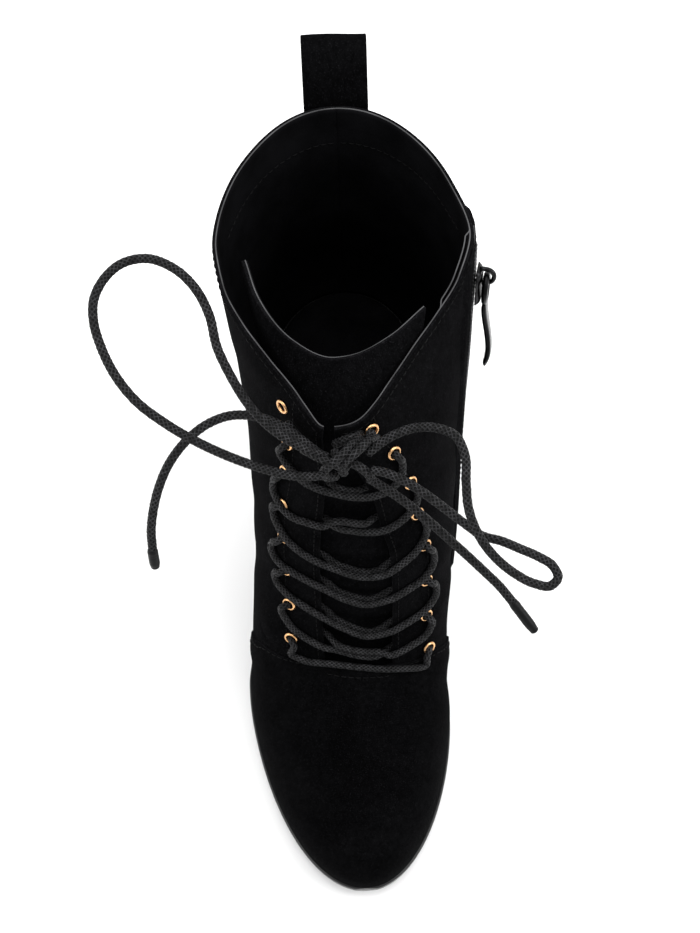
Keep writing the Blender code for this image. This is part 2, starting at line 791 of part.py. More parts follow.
def side_frame(s, z, step=1.0):
    """Point, outward normal and direction of the zip on the big toe's side, in table coordinates."""

    def x_at(station, level_height):
        return float(outer_offset(np.array([station]), level_at(np.array([station]), level_height), 1)[0])

    normal = np.array(
        [
            1.0,
            -(x_at(s + step, z) - x_at(s - step, z)) / (2 * step),
            -(x_at(s, z + step) - x_at(s, z - step)) / (2 * step),
        ]
    )
    normal /= np.linalg.norm(normal)
    down = np.array([0.0, ZIP_FOOT[0] - ZIP_TOP[0], ZIP_FOOT[1] - ZIP_TOP[1]])
    down -= normal * (down @ normal)
    return np.array([x_at(s, z), s, z]), normal, down / np.linalg.norm(down)


def zip_frame(distance):
    """The frame at a distance down the zip from its top, in millimetres."""
    run = np.array(ZIP_FOOT) - np.array(ZIP_TOP)
    s, z = np.array(ZIP_TOP) + run * distance / np.linalg.norm(run)
    return side_frame(s, z)


def make_zip_chain():
    length = math.dist(ZIP_TOP, ZIP_FOOT)
    rows = []
    for distance in np.linspace(0, length, 16):
        point, normal, down = zip_frame(distance)
        across = np.cross(down, normal)
        offsets = np.linspace(-ZIP_WIDTH / 2, ZIP_WIDTH / 2, 3)
        row = [side_frame(*(point + across * a)[1:]) for a in offsets]
        rows.append([p + n * ZIP_LIFT for p, n, _ in row])
    item = add_object("zip_chain", grid_mesh("zip_chain", [np.array(rows)], flip=True), "zip_gunmetal")
    thicken(item, ZIP_CHAIN, 1.0)


def zip_axes(distance, lift):
    """Matrix whose X runs across the zip, Y up along it and Z out of the boot."""
    point, normal, down = zip_frame(distance)
    up = Vector(-down)
    out = Vector(normal)
    turn = Matrix((up.cross(out), up, out)).transposed().to_4x4()
    return Matrix.Translation(to_world(point + normal * lift)) @ turn


def bevelled_box(name, size, bevel, material):
    bm = bmesh.new()
    bmesh.ops.create_cube(bm, size=1.0, matrix=Matrix.Diagonal((*(Vector(size) * MM), 1.0)))
    mesh = bpy.data.meshes.new(name)
    bm.to_mesh(mesh)
    bm.free()
    item = add_object(name, mesh, material)
    edge = item.modifiers.new("edges", "BEVEL")
    edge.width = bevel * MM
    edge.segments = 1
    return item


def tube(name, points, radius, material):
    """A closed round tube along a polyline of world points in metres."""
    curve = bpy.data.curves.new(name, "CURVE")
    curve.dimensions = "3D"
    curve.bevel_depth = radius * MM
    curve.bevel_resolution = 2
    curve.use_fill_caps = True
    spline = curve.splines.new("POLY")
    spline.points.add(len(points) - 1)
    for target, point in zip(spline.points, points):
        target.co = (*point, 1.0)
    item = bpy.data.objects.new(name, curve)
    COLLECTIONS["parts"].objects.link(item)
    if material:
        curve.materials.append(finish(material))
    return item


def as_mesh(curve_object):
    """A tube as a welded mesh object of the same name, in the same place."""
    name = curve_object.name
    graph = bpy.context.evaluated_depsgraph_get()
    mesh = bpy.data.meshes.new_from_object(curve_object.evaluated_get(graph))
    weld(mesh, 1e-5)
    matrix = curve_object.matrix_world.copy()
    bpy.data.objects.remove(curve_object, do_unlink=True)
    item = bpy.data.objects.new(name, mesh)
    item.matrix_world = matrix
    COLLECTIONS["parts"].objects.link(item)
    mesh.shade_smooth()
    return item


def unite(name, items, material):
    """One object from several that overlap, joined by Boolean unions."""
    first = items[0]
    for other in items[1:]:
        cut(first, other, "UNION")
    bpy.context.view_layer.update()
    apply_modifiers(first)
    for other in items[1:]:
        bpy.data.objects.remove(other, do_unlink=True)
    first.name = name
    first.data.materials.clear()
    first.data.materials.append(finish(material))
    return first


def make_slider_and_pull():
    """The slider with its wire arch, and the pull tab that hangs from the arch."""
    seat = ZIP_LIFT + ZIP_CHAIN + SEAT_GAP
    axes = zip_axes(SLIDER_TOP_GAP + HINGE_DROP, seat)
    body = bevelled_box("zip_slider", (SLIDER_WIDTH, SLIDER_LENGTH, SLIDER_THICK), 0.5, "zip_gunmetal")
    body.data.transform(Matrix.Translation((0.0, -SLIDER_DROP * MM, SLIDER_THICK / 2 * MM)))
    body.matrix_world = axes
    axis_height = SLIDER_THICK + HINGE_LIFT + PULL_BAR / 2
    rise = SLIDER_THICK + PULL_BAR + ARCH_HEADROOM + ARCH_WIRE
    reach = PULL_BAR / 2 + ARCH_CLEAR + ARCH_WIRE
    path = (
        (0, reach, SLIDER_THICK - ARCH_ROOT),
        (0, reach, rise - ARCH_BEND),
        (0, reach - ARCH_BEND, rise),
        (0, ARCH_BEND - reach, rise),
        (0, -reach, rise - ARCH_BEND),
        (0, -reach, SLIDER_THICK - ARCH_ROOT),
    )
    arch = tube("arch", [axes @ (Vector(p) * MM) for p in path], ARCH_WIRE, None)
    unite("zip_slider", [body, as_mesh(arch)], "zip_gunmetal")

    hinge = axes @ Matrix.Translation((0.0, 0.0, axis_height * MM))
    pivot = bpy.data.objects.new("zip_pull_axis", None)
    COLLECTIONS["parts"].objects.link(pivot)
    pivot.matrix_world = hinge
    outline = bpy.data.curves.new("zip_pull", "CURVE")
    outline.dimensions = "2D"
    outline.fill_mode = "BOTH"
    outline.extrude = PULL_THICK / 2 * MM
    for loop in (PULL_EDGE, PULL_EYE):
        spline = outline.splines.new("POLY")
        spline.points.add(len(loop) - 1)
        spline.use_cyclic_u = True
        for target, (x, y) in zip(spline.points, loop):
            target.co = (x * MM, y * MM, 0.0, 1.0)
    pull = bpy.data.objects.new("zip_pull", outline)
    COLLECTIONS["parts"].objects.link(pull)
    outline.materials.append(finish("zip_gunmetal"))
    pull.parent = pivot


def flowing(route, places, along):
    """Points at places along a curve through the route whose direction turns evenly at every point."""
    tangent = np.gradient(route, along, axis=0)
    k = np.clip(np.searchsorted(along, places) - 1, 0, len(along) - 2)
    step = (along[k + 1] - along[k])[:, None]
    t = ((places - along[k])[:, None] / step).clip(0, 1)
    held = (2 * t**3 - 3 * t**2 + 1) * route[k] + (3 * t**2 - 2 * t**3) * route[k + 1]
    return held + ((t**3 - 2 * t**2 + t) * tangent[k] + (t**3 - t**2) * tangent[k + 1]) * step


def cord_points(route, radius, spacing=2.6):
    """World points along a smooth curve through a route, one every few diameters."""
    route = np.array(route, float)
    along = np.append(0.0, np.cumsum(np.linalg.norm(np.diff(route, axis=0), axis=1)))
    count = max(int(round(along[-1] / (spacing * 2 * radius))), 2) + 1
    return to_world(flowing(route, np.linspace(0, along[-1], count), along))


def make_free_lace():
    radius = LACE / 2
    routes = (("lace_loop_left", LEFT_LOOP), ("lace_end_left", LEFT_END), ("lace_loop_right", RIGHT_LOOP))
    routes += (("lace_end_right", RIGHT_END), ("lace_lead_lateral", LATERAL_LEAD), ("lace_lead_medial", MEDIAL_LEAD))
    for name, route in routes:
        tube(name, cord_points(route, radius), radius, "lace_black")
    for name, route in (("lace_tip_left", LEFT_TIP), ("lace_tip_right", RIGHT_TIP)):
        tube(name, to_world(route), TIP_RADIUS, "lace_black")
    bm = bmesh.new()
    bmesh.ops.create_uvsphere(bm, u_segments=12, v_segments=8, radius=1.0)
    bmesh.ops.transform(bm, matrix=Matrix.Diagonal((*(Vector(KNOT_HALF) * MM), 1.0)), verts=bm.verts)
    mesh = bpy.data.meshes.new("lace_knot")
    bm.to_mesh(mesh)
    bm.free()
    knot = add_object("lace_knot", mesh, "lace_black")
    knot.location = to_world(KNOT_CENTRE)


def over_facings(x, z, lift):
    """A point above the plane of the facings, in world metres."""
    point, normal = facing_frame(x, z)
    return to_world(point + normal * lift)


def make_lacing():
    """The bar at the lowest pair of eyelets, and a crossing under each of the pairs above it."""
    radius = LACE / 2
    over = radius + LACING_LIFT
    clear_of_eyelet = EYELET_OUTER + EYELET_CLEAR
    lateral_z, lateral_x, medial_z, medial_x = EYELETS[-1]
    ends = np.array([[lateral_x + clear_of_eyelet, lateral_z], [medial_x - clear_of_eyelet, medial_z]])
    spots = [ends[0] + (ends[1] - ends[0]) * t for t in np.linspace(0, 1, BAR_STEPS)]
    tube("lace_bar", [over_facings(x, z, over) for x, z in spots], radius, "lace_black")
    for number in range(len(EYELETS) - 1, 1, -1):
        here, below = EYELETS[number - 1], EYELETS[number]
        strands = []
        for side in (-1, 1):
            near = (below[1], below[0]) if side < 0 else (below[3], below[2])
            far = (here[3], here[2]) if side < 0 else (here[1], here[0])
            edges = [float(smooth(near[1] + START_ABOVE, column(FACINGS, 0), column(FACINGS, i))) for i in (1, 2)]
            inset = radius + FACING_CLEAR
            start = edges[0] + inset if side < 0 else edges[1] - inset
            stop = far[0] + side * clear_of_eyelet
            z_start = near[1] + START_SHARE * (far[1] - near[1])
            path = []
            for t in np.linspace(0, 1, STRAND_STEPS):
                lift = over * min(1.0, FIRST_LIFT + LIFT_SLOPE * t)
                path.append(over_facings(start + (stop - start) * t, z_start + (far[1] - z_start) * t, lift))
            strands.append(as_mesh(tube(f"strand_{number}_{side}", path, radius, None)))
        unite(f"lace_crossing_{number}", strands, "lace_black")


def clear_scene():
    for item in list(bpy.data.objects):
        bpy.data.objects.remove(item, do_unlink=True)


def add_collection(name):
    group = bpy.data.collections.new(name)
    bpy.context.scene.collection.children.link(group)
    return group


clear_scene()
COLLECTIONS = {"parts": add_collection(ASSEMBLY), "cutters": add_collection(f"{ASSEMBLY}_cutters")}


def main():
    make_outsole()
    make_insole()
    make_heel()
    upper = make_upper()
    make_eyelets(upper)
    make_tongue()
    make_pull_loop()
    make_zip_chain()
    make_slider_and_pull()
    make_lacing()
    make_free_lace()


if __name__ == "__main__":
    main()
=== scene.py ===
"""Black suede lace up ankle boot with a side zip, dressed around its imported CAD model.

Tables hold millimetres in the boot's own measure: offset (big toe's side positive), station back from the
toe's tip, and height above the floor. to_world turns them into the metres of the frame.
"""
import math

import bmesh
import bpy
import numpy as np
from mathutils import Matrix, Vector


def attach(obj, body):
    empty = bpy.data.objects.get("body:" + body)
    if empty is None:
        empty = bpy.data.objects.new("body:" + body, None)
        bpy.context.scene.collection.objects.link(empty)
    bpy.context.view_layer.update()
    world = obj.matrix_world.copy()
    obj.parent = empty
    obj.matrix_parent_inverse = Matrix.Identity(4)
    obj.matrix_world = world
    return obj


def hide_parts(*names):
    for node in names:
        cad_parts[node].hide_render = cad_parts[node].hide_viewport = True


bl_info = {
    "name": "Lace Up Ankle Boot",
    "version": (1, 0, 0),
    "blender": (4, 5, 0),
    "location": "View3D > Sidebar > Boot",
    "description": "Makes a suede lace up ankle boot, piece by piece, around its CAD frame",
    "category": "Add Mesh",
}

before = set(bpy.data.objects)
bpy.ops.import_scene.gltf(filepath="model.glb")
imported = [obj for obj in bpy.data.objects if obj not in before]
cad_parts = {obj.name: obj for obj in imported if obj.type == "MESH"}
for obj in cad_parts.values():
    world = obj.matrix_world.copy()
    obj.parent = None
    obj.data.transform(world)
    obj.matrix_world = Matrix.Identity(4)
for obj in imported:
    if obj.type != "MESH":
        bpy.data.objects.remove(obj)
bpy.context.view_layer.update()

MM = 0.001
HEEL_CENTRE = 205.0
BOOT, PULL_TAB = "boot", "zip_tab"

# The last's driving sizes, as the CAD model has them.
BALL = {-1: 88.0, 1: 70.0}
TOE_CURVE = {-1: 1.6, 1: 1.7}
TOE_BOX_RADIUS = 15.0
SECTION_POWER = 2.5
HEEL_ROUND = (33.0, 52.0)
HEEL_POWER = (2.0, 1.7)
FEATHER_GAP = 0.4
WALL = 2.0
SOLE = 5.0
TOP_PIECE = 6.0
HEEL_INSET = 1.0
THROAT_LEVEL = 0.295

# The side view: station, top of the sole above the floor, height of the upper above the sole.
SIDE_VIEW = (
    (0, 12.5, 23.0), (12, 9.8, 26.5), (30, 7.0, 34.5), (44, 5.6, 40.0), (55, 5.0, 44.0), (66, 5.0, 48.0),
    (76, 5.0, 54.5), (82, 5.0, 67.0), (90, 6.6, 88.5), (100, 11.0, 115.0), (113, 19.5, 165.0),
    (123, 27.5, 200.0), (140, 44.0, 260.0), (160, 62.0, 330.0), (180, 74.0, 400.0), (200, 80.0, 470.0),
    (229, 84.0, 560.0),
)
# The back edge: height, station.
BACK_VIEW = (
    (70, 226.5), (84, 227.8), (95, 229.3), (108, 229.2), (125, 226.0), (150, 222.3), (175, 223.0),
    (206, 226.6), (230, 229.0),
)
# The collar's edge: station, height.
COLLAR_VIEW = (
    (0, 184.0), (112.7, 184.0), (120, 187.0), (127.5, 190.0), (138.5, 193.5), (147.5, 196.0), (157, 198.3),
    (176, 201.5), (191.5, 203.7), (207.5, 205.0), (226.5, 206.0), (240, 206.0),
)
# Half widths: station, then sole, ankle and collar on the little toe's side, then on the big toe's.
WIDTHS = (
    (0, 45.0, 43.0, 43.0, 36.2, 35.5, 36.0), (70, 45.0, 41.5, 38.0, 36.2, 37.5, 36.0),
    (88, 44.6, 38.5, 29.0, 34.5, 38.0, 33.0), (100, 42.4, 37.0, 22.0, 31.5, 38.5, 24.0),
    (113, 39.6, 36.5, 17.0, 28.5, 39.0, 17.5), (123, 37.2, 36.8, 21.0, 26.8, 39.8, 20.0),
    (135, 35.2, 37.2, 29.5, 25.6, 40.6, 26.5), (147, 33.5, 37.6, 37.0, 25.6, 41.4, 34.5),
    (160, 32.0, 38.2, 42.5, 26.8, 42.0, 42.0), (176, 31.0, 38.6, 44.6, 28.4, 42.0, 45.6),
    (195, 30.8, 37.8, 44.0, 29.4, 40.0, 43.6), (229, 30.8, 37.0, 43.0, 30.0, 38.5, 42.6),
)
# The instep's ridge: height, offset towards the big toe's side.
RIDGE = (
    (10, 1.0), (40, 3.0), (60, 5.5), (80, 6.0), (110, 4.5), (135, 1.5), (160, -3.0), (184, -6.5), (210, -7.0),
)
# The facings: height, lateral edge, medial edge.
FACINGS = (
    (58, -13.0, 13.5), (95, -13.0, 14.0), (112, -12.5, 13.5), (128, -11.5, 10.5), (145, -9.7, 7.8),
    (161, -9.0, 2.4), (178, -9.2, -4.2), (184, -8.6, -4.6),
)
# The eyelets, top pair first: lateral height and offset, medial height and offset.
EYELETS = (
    (178, -21.6, 179, 7.4), (163, -20.8, 164, 14.8), (148, -22.4, 147, 20.4), (132, -24.0, 131, 22.8),
    (116, -24.8, 113, 25.6), (100, -25.0, 95, 26.2), (84, -24.7, 77, 26.2), (67, -25.0, 59, 27.4),
)
# The seam between vamp and quarters: station and height on the little toe's side, then on the big toe's.
SEAM = {
    -1: ((106.0, 14.8), (103.0, 26.0), (97.0, 39.0), (89.5, 50.0), (82.5, 55.6)),
    1: ((99.0, 11.0), (97.0, 25.0), (92.0, 40.0), (84.5, 50.5), (80.0, 54.8)),
}
# The tongue: level, inward lean at its middle, arc on the lateral side, arc on the medial side.
TONGUE_ROWS = (
    (0.275, 1.8, 16, 16), (0.34, 2.2, 24, 24), (0.50, 0.2, 31, 31), (0.70, 0.0, 33, 33), (0.86, 0.6, 37, 36),
    (0.94, 2.0, 42, 40), (1.00, 5.0, 51, 46), (1.075, 10.5, 62, 53),
)
# The loop behind the collar: station and height along its tape.
LOOP_PATH = (
    (224.9, 184.0), (226.2, 195.0), (228.1, 206.0), (230.6, 213.0), (233.2, 219.5), (236.2, 225.3),
    (239.4, 227.6), (242.4, 226.2), (243.6, 222.0), (242.4, 216.5), (239.0, 211.0), (234.0, 206.0),
    (230.4, 201.0), (228.4, 195.0), (227.2, 184.0),
)
LOOP_WIDTH = 22.0
LOOP_TAPE = 1.5
# The heel at the floor: half width, front and back stations, and the front station under the sole.
HEEL_FOOT_HALF = 26.5
HEEL_FOOT_FRONT = 184.0
HEEL_FOOT_BACK = 224.5
HEEL_SEAT_FRONT = 177.0
# The heel's shape: share drawn in at its waist, share of its depth that is rounded, crowding of its stations.
HEEL_WAIST = 0.10
HEEL_BOW = 0.72
HEEL_CROWD = 0.75
# The zip on the big toe's side: station and height of its ends.
ZIP_TOP = (173.5, 198.6)
ZIP_FOOT = (123.0, 65.0)
SEAT_GAP = 0.3
ZIP_LIFT = 0.4
ZIP_CHAIN = 1.2
# The pull's hinge: distance down the zip, and height above the slider's seat on the chain.
HINGE_PLACE = 13.0
HINGE_HEIGHT = 3.4
SLIDER_SEAT = ZIP_LIFT + ZIP_CHAIN + SEAT_GAP

# Routes of the free lace: offset, station, height, listed along the bow.
LEFT_LOOP = (
    (-7.6, 103.9, 182.3), (-12, 104.6, 184.8), (-18, 106.5, 188), (-25, 110, 192.5), (-32, 116, 198.5),
    (-37, 123, 204.5), (-41, 131, 210), (-43, 140, 214.5), (-47, 148, 217.5), (-54, 155, 219.5),
    (-62, 158, 221), (-70, 156, 222), (-76, 150, 222),
    (-79, 143, 221), (-79, 136, 219), (-77, 129, 216), (-73, 121, 212),
    (-67, 114, 207.5), (-58, 108, 202.5), (-48, 103.5, 197), (-38, 100.5, 191.5), (-28, 98.7, 186),
    (-19, 98, 181.5), (-13, 98.4, 179.4), (-9.1, 99.2, 178.5),
)
LEFT_END = (
    (-8.5, 106.4, 177), (-13, 110, 178), (-18, 113.7, 180), (-24, 117, 182.5), (-31, 118.5, 185),
    (-38.5, 118, 187), (-46, 115, 187.5),
    (-53, 110, 186), (-59, 104, 182), (-63, 98, 176.5), (-65.5, 93, 170), (-67, 88.5, 163),
    (-67.3, 85, 156.5),
)
RIGHT_LOOP = (
    (6, 104.9, 181.8), (10, 107.3, 183.7), (16, 109.5, 186.4), (22, 110, 188.8), (29, 108.5, 190.6),
    (34.5, 105, 191), (37, 99, 189.5),
    (37, 91, 186), (37.5, 84, 181.5), (40, 77.5, 177), (45, 71, 172.5), (51.5, 66, 169),
    (58, 62.8, 167), (63.5, 62.2, 166), (66, 64.6, 166.5), (64.5, 68.2, 168), (60, 71, 169.5),
    (54, 73.5, 171), (48, 75.8, 172.6), (42.2, 78.8, 170.5), (36, 83, 172.5), (29, 87.7, 176),
    (22, 92.3, 179), (15, 96.4, 180.5), (10.5, 98.6, 180.2), (7.3, 99.6, 179.8),
)
RIGHT_END = (
    (5.9, 99.6, 173.8), (10, 97.2, 172.6), (15, 94, 171), (20, 90.5, 169), (25, 86.7, 166.5), (31, 82, 163),
    (37, 77.5, 159), (43, 73, 154.5), (48.5, 68.8, 150), (52.5, 65, 146),
)
LATERAL_LEAD = (
    (-20.4, 119.4, 177.5), (-17.8, 115.7, 176.1), (-14.9, 111.7, 174.8), (-11.6, 108.7, 173.9),
    (-7.8, 106.8, 173.5),
)
MEDIAL_LEAD = ((7.6, 112.6, 182.4), (6.4, 110.8, 181), (4.3, 108.3, 178.5))
LEFT_TIP = ((-67.4, 84.8, 156.1), (-67.2, 81.6, 149.0))
RIGHT_TIP = ((52.75, 64.76, 145.75), (60.0, 57.4, 137.8))
TIP_RADIUS = 1.9


def column(table, index):
    """One column of a table as an array."""
    return np.array([row[index] for row in table], float)


def smooth(x, stations, values):
    """A cubic through the values, with tangents from harmonic means of the slopes, that never overshoots."""
    x = np.asarray(x, float)
    step = np.diff(stations)
    slope = np.diff(values) / step
    tangent = np.zeros_like(values)
    tangent[0], tangent[-1] = slope[0], slope[-1]
    before, after = slope[:-1], slope[1:]
    heavy, light = 2 * step[1:] + step[:-1], step[1:] + 2 * step[:-1]
    same_way = before * after > 0
    safe_before = np.where(same_way, before, 1.0)
    safe_after = np.where(same_way, after, 1.0)
    tangent[1:-1] = np.where(same_way, (heavy + light) / (heavy / safe_before + light / safe_after), 0.0)
    k = np.clip(np.searchsorted(stations, x) - 1, 0, len(step) - 1)
    t = np.clip((x - stations[k]) / step[k], 0, 1)
    held = (2 * t**3 - 3 * t**2 + 1) * values[k] + (3 * t**2 - 2 * t**3) * values[k + 1]
    turned = (t**3 - 2 * t**2 + t) * tangent[k] + (t**3 - t**2) * tangent[k + 1]
    return held + turned * step[k]


def look_up(table, x, index=1):
    """A table's smooth curve from its first column to another."""
    return smooth(x, column(table, 0), column(table, index))


def rounding(t, power):
    """Rises from 0 to 1 like the side of a rounded end: the root of 1 less a power of what is left of t."""
    return np.sqrt(1 - (1 - np.clip(t, 0, 1)) ** power)


def ease(t):
    """Rises smoothly from 0 at t = 0 to 1 at t = 1."""
    t = np.clip(t, 0, 1)
    return t * t * (3 - 2 * t)


def sole_top(s):
    """Height of the sole's top face at a station."""
    return look_up(SIDE_VIEW, s)


def feather(s):
    """Height of the upper's lower edge, a small gap above the sole."""
    return sole_top(s) + FEATHER_GAP


def cover(s):
    """Height of the upper above its lower edge, rounded to nothing at the toe's tip."""
    return look_up(SIDE_VIEW, s, 2) * rounding(np.asarray(s) / TOE_BOX_RADIUS, 2.0)


def height(s, level):
    """Height of a ring of the upper: level 0 runs along the sole and level 1 along the collar."""
    return (1 - level) * feather(s) + level * look_up(COLLAR_VIEW, s)


def level_at(s, z):
    """The level of a height: its share of the way from the lower edge to the collar."""
    return (z - feather(s)) / (look_up(COLLAR_VIEW, s) - feather(s))


def half_width(s, level, side):
    """Half width before the ends are rounded: a parabola in level through sole, ankle and collar widths."""
    first = 1 if side < 0 else 4
    low, mid, top = (look_up(WIDTHS, s, first + i) for i in range(3))
    blend = (1 - level) * (1 - 2 * level) * low + 4 * level * (1 - level) * mid
    blend = blend + level * (2 * level - 1) * top
    return blend * rounding(s / BALL[side], TOE_CURVE[side])


def ridge_at(s, z):
    """Offset of the instep's ridge, which starts from the middle at the toe's tip."""
    return look_up(RIDGE, z) * ease(s / TOE_BOX_RADIUS)


def outer_offset(s, level, side):
    """Sideways place of the upper's outer face.

    A superellipse across the foot, x = ridge + side (half width - side ridge) (1 - rise^2.5)^(1/2.5), times
    the rounding of the heel, where rise is the height above the sole over the height of the ridge."""
    z = height(s, level)
    rise = np.clip((z - feather(s)) / np.maximum(cover(s), 1e-6), 0, 1)
    across = (1 - rise**SECTION_POWER) ** (1 / SECTION_POWER)
    reach = HEEL_ROUND[0] + (HEEL_ROUND[1] - HEEL_ROUND[0]) * level
    power = HEEL_POWER[0] + (HEEL_POWER[1] - HEEL_POWER[0]) * level
    behind = rounding((look_up(BACK_VIEW, z) - s) / reach, power)
    middle = ridge_at(s, z)
    return behind * (middle + side * (half_width(s, level, side) - side * middle) * across)


def crossing(values, places):
    """The first place where the values fall below zero."""
    k = max(int(np.argmax(values < 0)), 1)
    return places[k - 1] + (places[k] - places[k - 1]) * values[k - 1] / (values[k - 1] - values[k])


def ring_ends(level):
    """Stations where a ring meets the instep's ridge in front and the back edge behind."""
    front = np.linspace(0, 150, 1501)
    above = height(front, level) - feather(front) - cover(front)
    start = 0.0 if level <= 0 else crossing(above, front)
    rear = np.linspace(190, 236, 461)
    return start, crossing(look_up(BACK_VIEW, height(rear, level)) - rear, rear)


def ring(level, side, count=500):
    """One side of a ring as a fine polyline from the ridge in front to the back edge."""
    start, end = ring_ends(level)
    s = start + (end - start) * (1 - np.cos(np.linspace(0, math.pi, count))) / 2
    x = outer_offset(s, level, side)
    x[0], x[-1] = ridge_at(s[:1], height(s[:1], level))[0], 0.0
    return np.stack([x, s, height(s, level)], 1)


def lengths_along(points):
    """Distance along a polyline at each of its points."""
    return np.append(0.0, np.cumsum(np.linalg.norm(np.diff(points, axis=0), axis=1)))


def sampled(places, along, points):
    """Points at places along a polyline whose own points lie at the distances along it."""
    return np.stack([np.interp(places, along, points[:, i]) for i in range(3)], -1)


def circle(count):
    """Angles spread evenly over a full turn."""
    return np.linspace(0, math.tau, count, endpoint=False)


# The atlas of the upper's points: its levels, its step and reach in arc, and the steps that its normals take.
ATLAS_LEVELS = np.linspace(0, 1.1, 221)
ATLAS_STEP = 0.5
ATLAS_REACH = 300.0
ARC_NUDGE = 0.75
LEVEL_NUDGE = 0.006


class Form:
    """The upper's outer face, read by level and by arc: the distance round a ring from the instep's ridge,
    negative on the little toe's side."""

    def __init__(self):
        arcs = np.arange(0, ATLAS_REACH + ATLAS_STEP, ATLAS_STEP)
        self.ends = {-1: [], 1: []}
        rows = []
        for level in ATLAS_LEVELS:
            halves = {}
            for side in (-1, 1):
                points = ring(level, side)
                along = lengths_along(points)
                self.ends[side].append(along[-1])
                halves[side] = sampled(arcs, along, points)
            rows.append(np.vstack([halves[-1][::-1], halves[1][1:]]))
        self.points = np.array(rows)
        self.middle = len(arcs) - 1

    def end(self, level, side):
        """Arc of the back seam."""
        return np.interp(level, ATLAS_LEVELS, self.ends[side])

    def at(self, level, arc):
        """Points at arrays of levels and arcs, weighted between the four nearest points of the atlas."""
        level, arc = np.broadcast_arrays(np.asarray(level, float), np.asarray(arc, float))
        row = np.clip(level / (ATLAS_LEVELS[1] - ATLAS_LEVELS[0]), 0, len(ATLAS_LEVELS) - 1.001)
        col = np.clip(arc / ATLAS_STEP + self.middle, 0, self.points.shape[1] - 1.001)
        i, j = row.astype(int), col.astype(int)
        a, b = (row - i)[..., None], (col - j)[..., None]
        low = self.points[i, j] * (1 - b) + self.points[i, j + 1] * b
        high = self.points[i + 1, j] * (1 - b) + self.points[i + 1, j + 1] * b
        return low * (1 - a) + high * a

    def behind(self, level, distance):
        """Points at a distance round from the back seam, negative on the little toe's side."""
        lateral, medial = self.end(level, -1), self.end(level, 1)
        left, right = self.at(level, -(lateral + distance)), self.at(level, medial - distance)
        return np.where((np.asarray(distance) < 0)[..., None], left, right)

    def normal(self, level, arc):
        """Outward unit normals, from the cross product of steps round the ring and up it."""
        across = self.at(level, arc + ARC_NUDGE) - self.at(level, arc - ARC_NUDGE)
        up = self.at(level + LEVEL_NUDGE, arc) - self.at(level - LEVEL_NUDGE, arc)
        return unit(np.cross(across, up))

    def arc_at(self, level, station, side):
        """Arc where a ring passes a station."""
        points = ring(level, side)
        return float(np.interp(station, points[:, 1], lengths_along(points)))

    def facing_arc(self, level, side):
        """Arc of a facing's edge at levels above the throat."""
        arcs = np.arange(0, 40, ATLAS_STEP)
        found = []
        for value in np.atleast_1d(level):
            points = self.at(value, side * arcs)
            edge = look_up(FACINGS, points[:1, 2], 1 if side < 0 else 2)[0]
            found.append(np.interp(side * edge, side * points[:, 0], arcs))
        return np.array(found)


def unit(vectors):
    """Vectors over their own lengths."""
    return vectors / np.maximum(np.linalg.norm(vectors, axis=-1, keepdims=True), 1e-12)


def grid_normals(points):
    """Unit normals of a grid, from the cross product of steps along its rows and up its columns."""
    return unit(np.cross(np.gradient(points, axis=1), np.gradient(points, axis=0)))


def to_world(points):
    """The boot's millimetres to the frame's metres."""
    return (np.asarray(points, float) - np.array([0.0, HEEL_CENTRE, 0.0])) * MM


FORM = Form()


def quads(rows, cols, start=0, close_rows=False, close_cols=False, flip=False):
    """Corner numbers of a grid's quads, rows and columns joined end to end where asked."""
    i = np.arange(rows if close_rows else rows - 1)[:, None]
    j = np.arange(cols if close_cols else cols - 1)[None, :]
    i2, j2 = (i + 1) % rows, (j + 1) % cols
    corners = [i * cols + j, i * cols + j2, i2 * cols + j2, i2 * cols + j]
    made = np.stack([np.broadcast_to(c, (len(i), j.shape[1])).ravel() for c in corners], 1) + start
    return made[:, ::-1] if flip else made


def mesh_of(name, points, faces, indices=None, uv=None):
    """A smooth mesh from arrays of points in the frame's metres and of quads."""
    mesh = bpy.data.meshes.new(name)
    mesh.vertices.add(len(points))
    mesh.vertices.foreach_set("co", np.asarray(points, np.float32).ravel())
    faces = np.asarray(faces, np.int32)
    mesh.loops.add(faces.size)
    mesh.loops.foreach_set("vertex_index", faces.ravel())
    mesh.polygons.add(len(faces))
    mesh.polygons.foreach_set("loop_start", np.arange(0, faces.size, faces.shape[1], dtype=np.int32))
    if indices is not None:
        mesh.polygons.foreach_set("material_index", np.asarray(indices, np.int32))
    if uv is not None:
        layer = mesh.uv_layers.new(name="UVMap")
        layer.data.foreach_set("uv", np.asarray(uv, np.float32)[faces.ravel()].ravel())
    mesh.update(calc_edges=True)
    mesh.validate()
    mesh.shade_smooth()
    return mesh


def add_piece(name, mesh, materials, body=BOOT, nodes=(), slot=None):
    """A mesh as a piece of the boot that rides on a body and stands for CAD nodes."""
    item = bpy.data.objects.new(name, mesh)
    bpy.context.scene.collection.objects.link(item)
    for material in materials:
        mesh.materials.append(material)
    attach(item, body)
    if nodes:
        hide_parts(*nodes)
    return item


def join_parts(parts):
    """Points, quads, material numbers and UVs of several (points, faces, index, uv) parts as one set."""
    points, faces, indices, uvs, start = [], [], [], [], 0
    for part_points, part_faces, index, uv in parts:
        flat = part_points.reshape(-1, 3)
        points.append(flat)
        faces.append(part_faces + start)
        indices.append(np.full(len(part_faces), index))
        uvs.append(np.zeros((len(flat), 2)) if uv is None else uv.reshape(-1, 2))
        start += len(flat)
    return np.vstack(points), np.vstack(faces), np.concatenate(indices), np.vstack(uvs)


def border_of(grid):
    """The border of a grid as one loop."""
    return np.concatenate([grid[0, :-1], grid[:-1, -1], grid[-1, :0:-1], grid[:0:-1, 0]])


EDGE_STEPS = 4


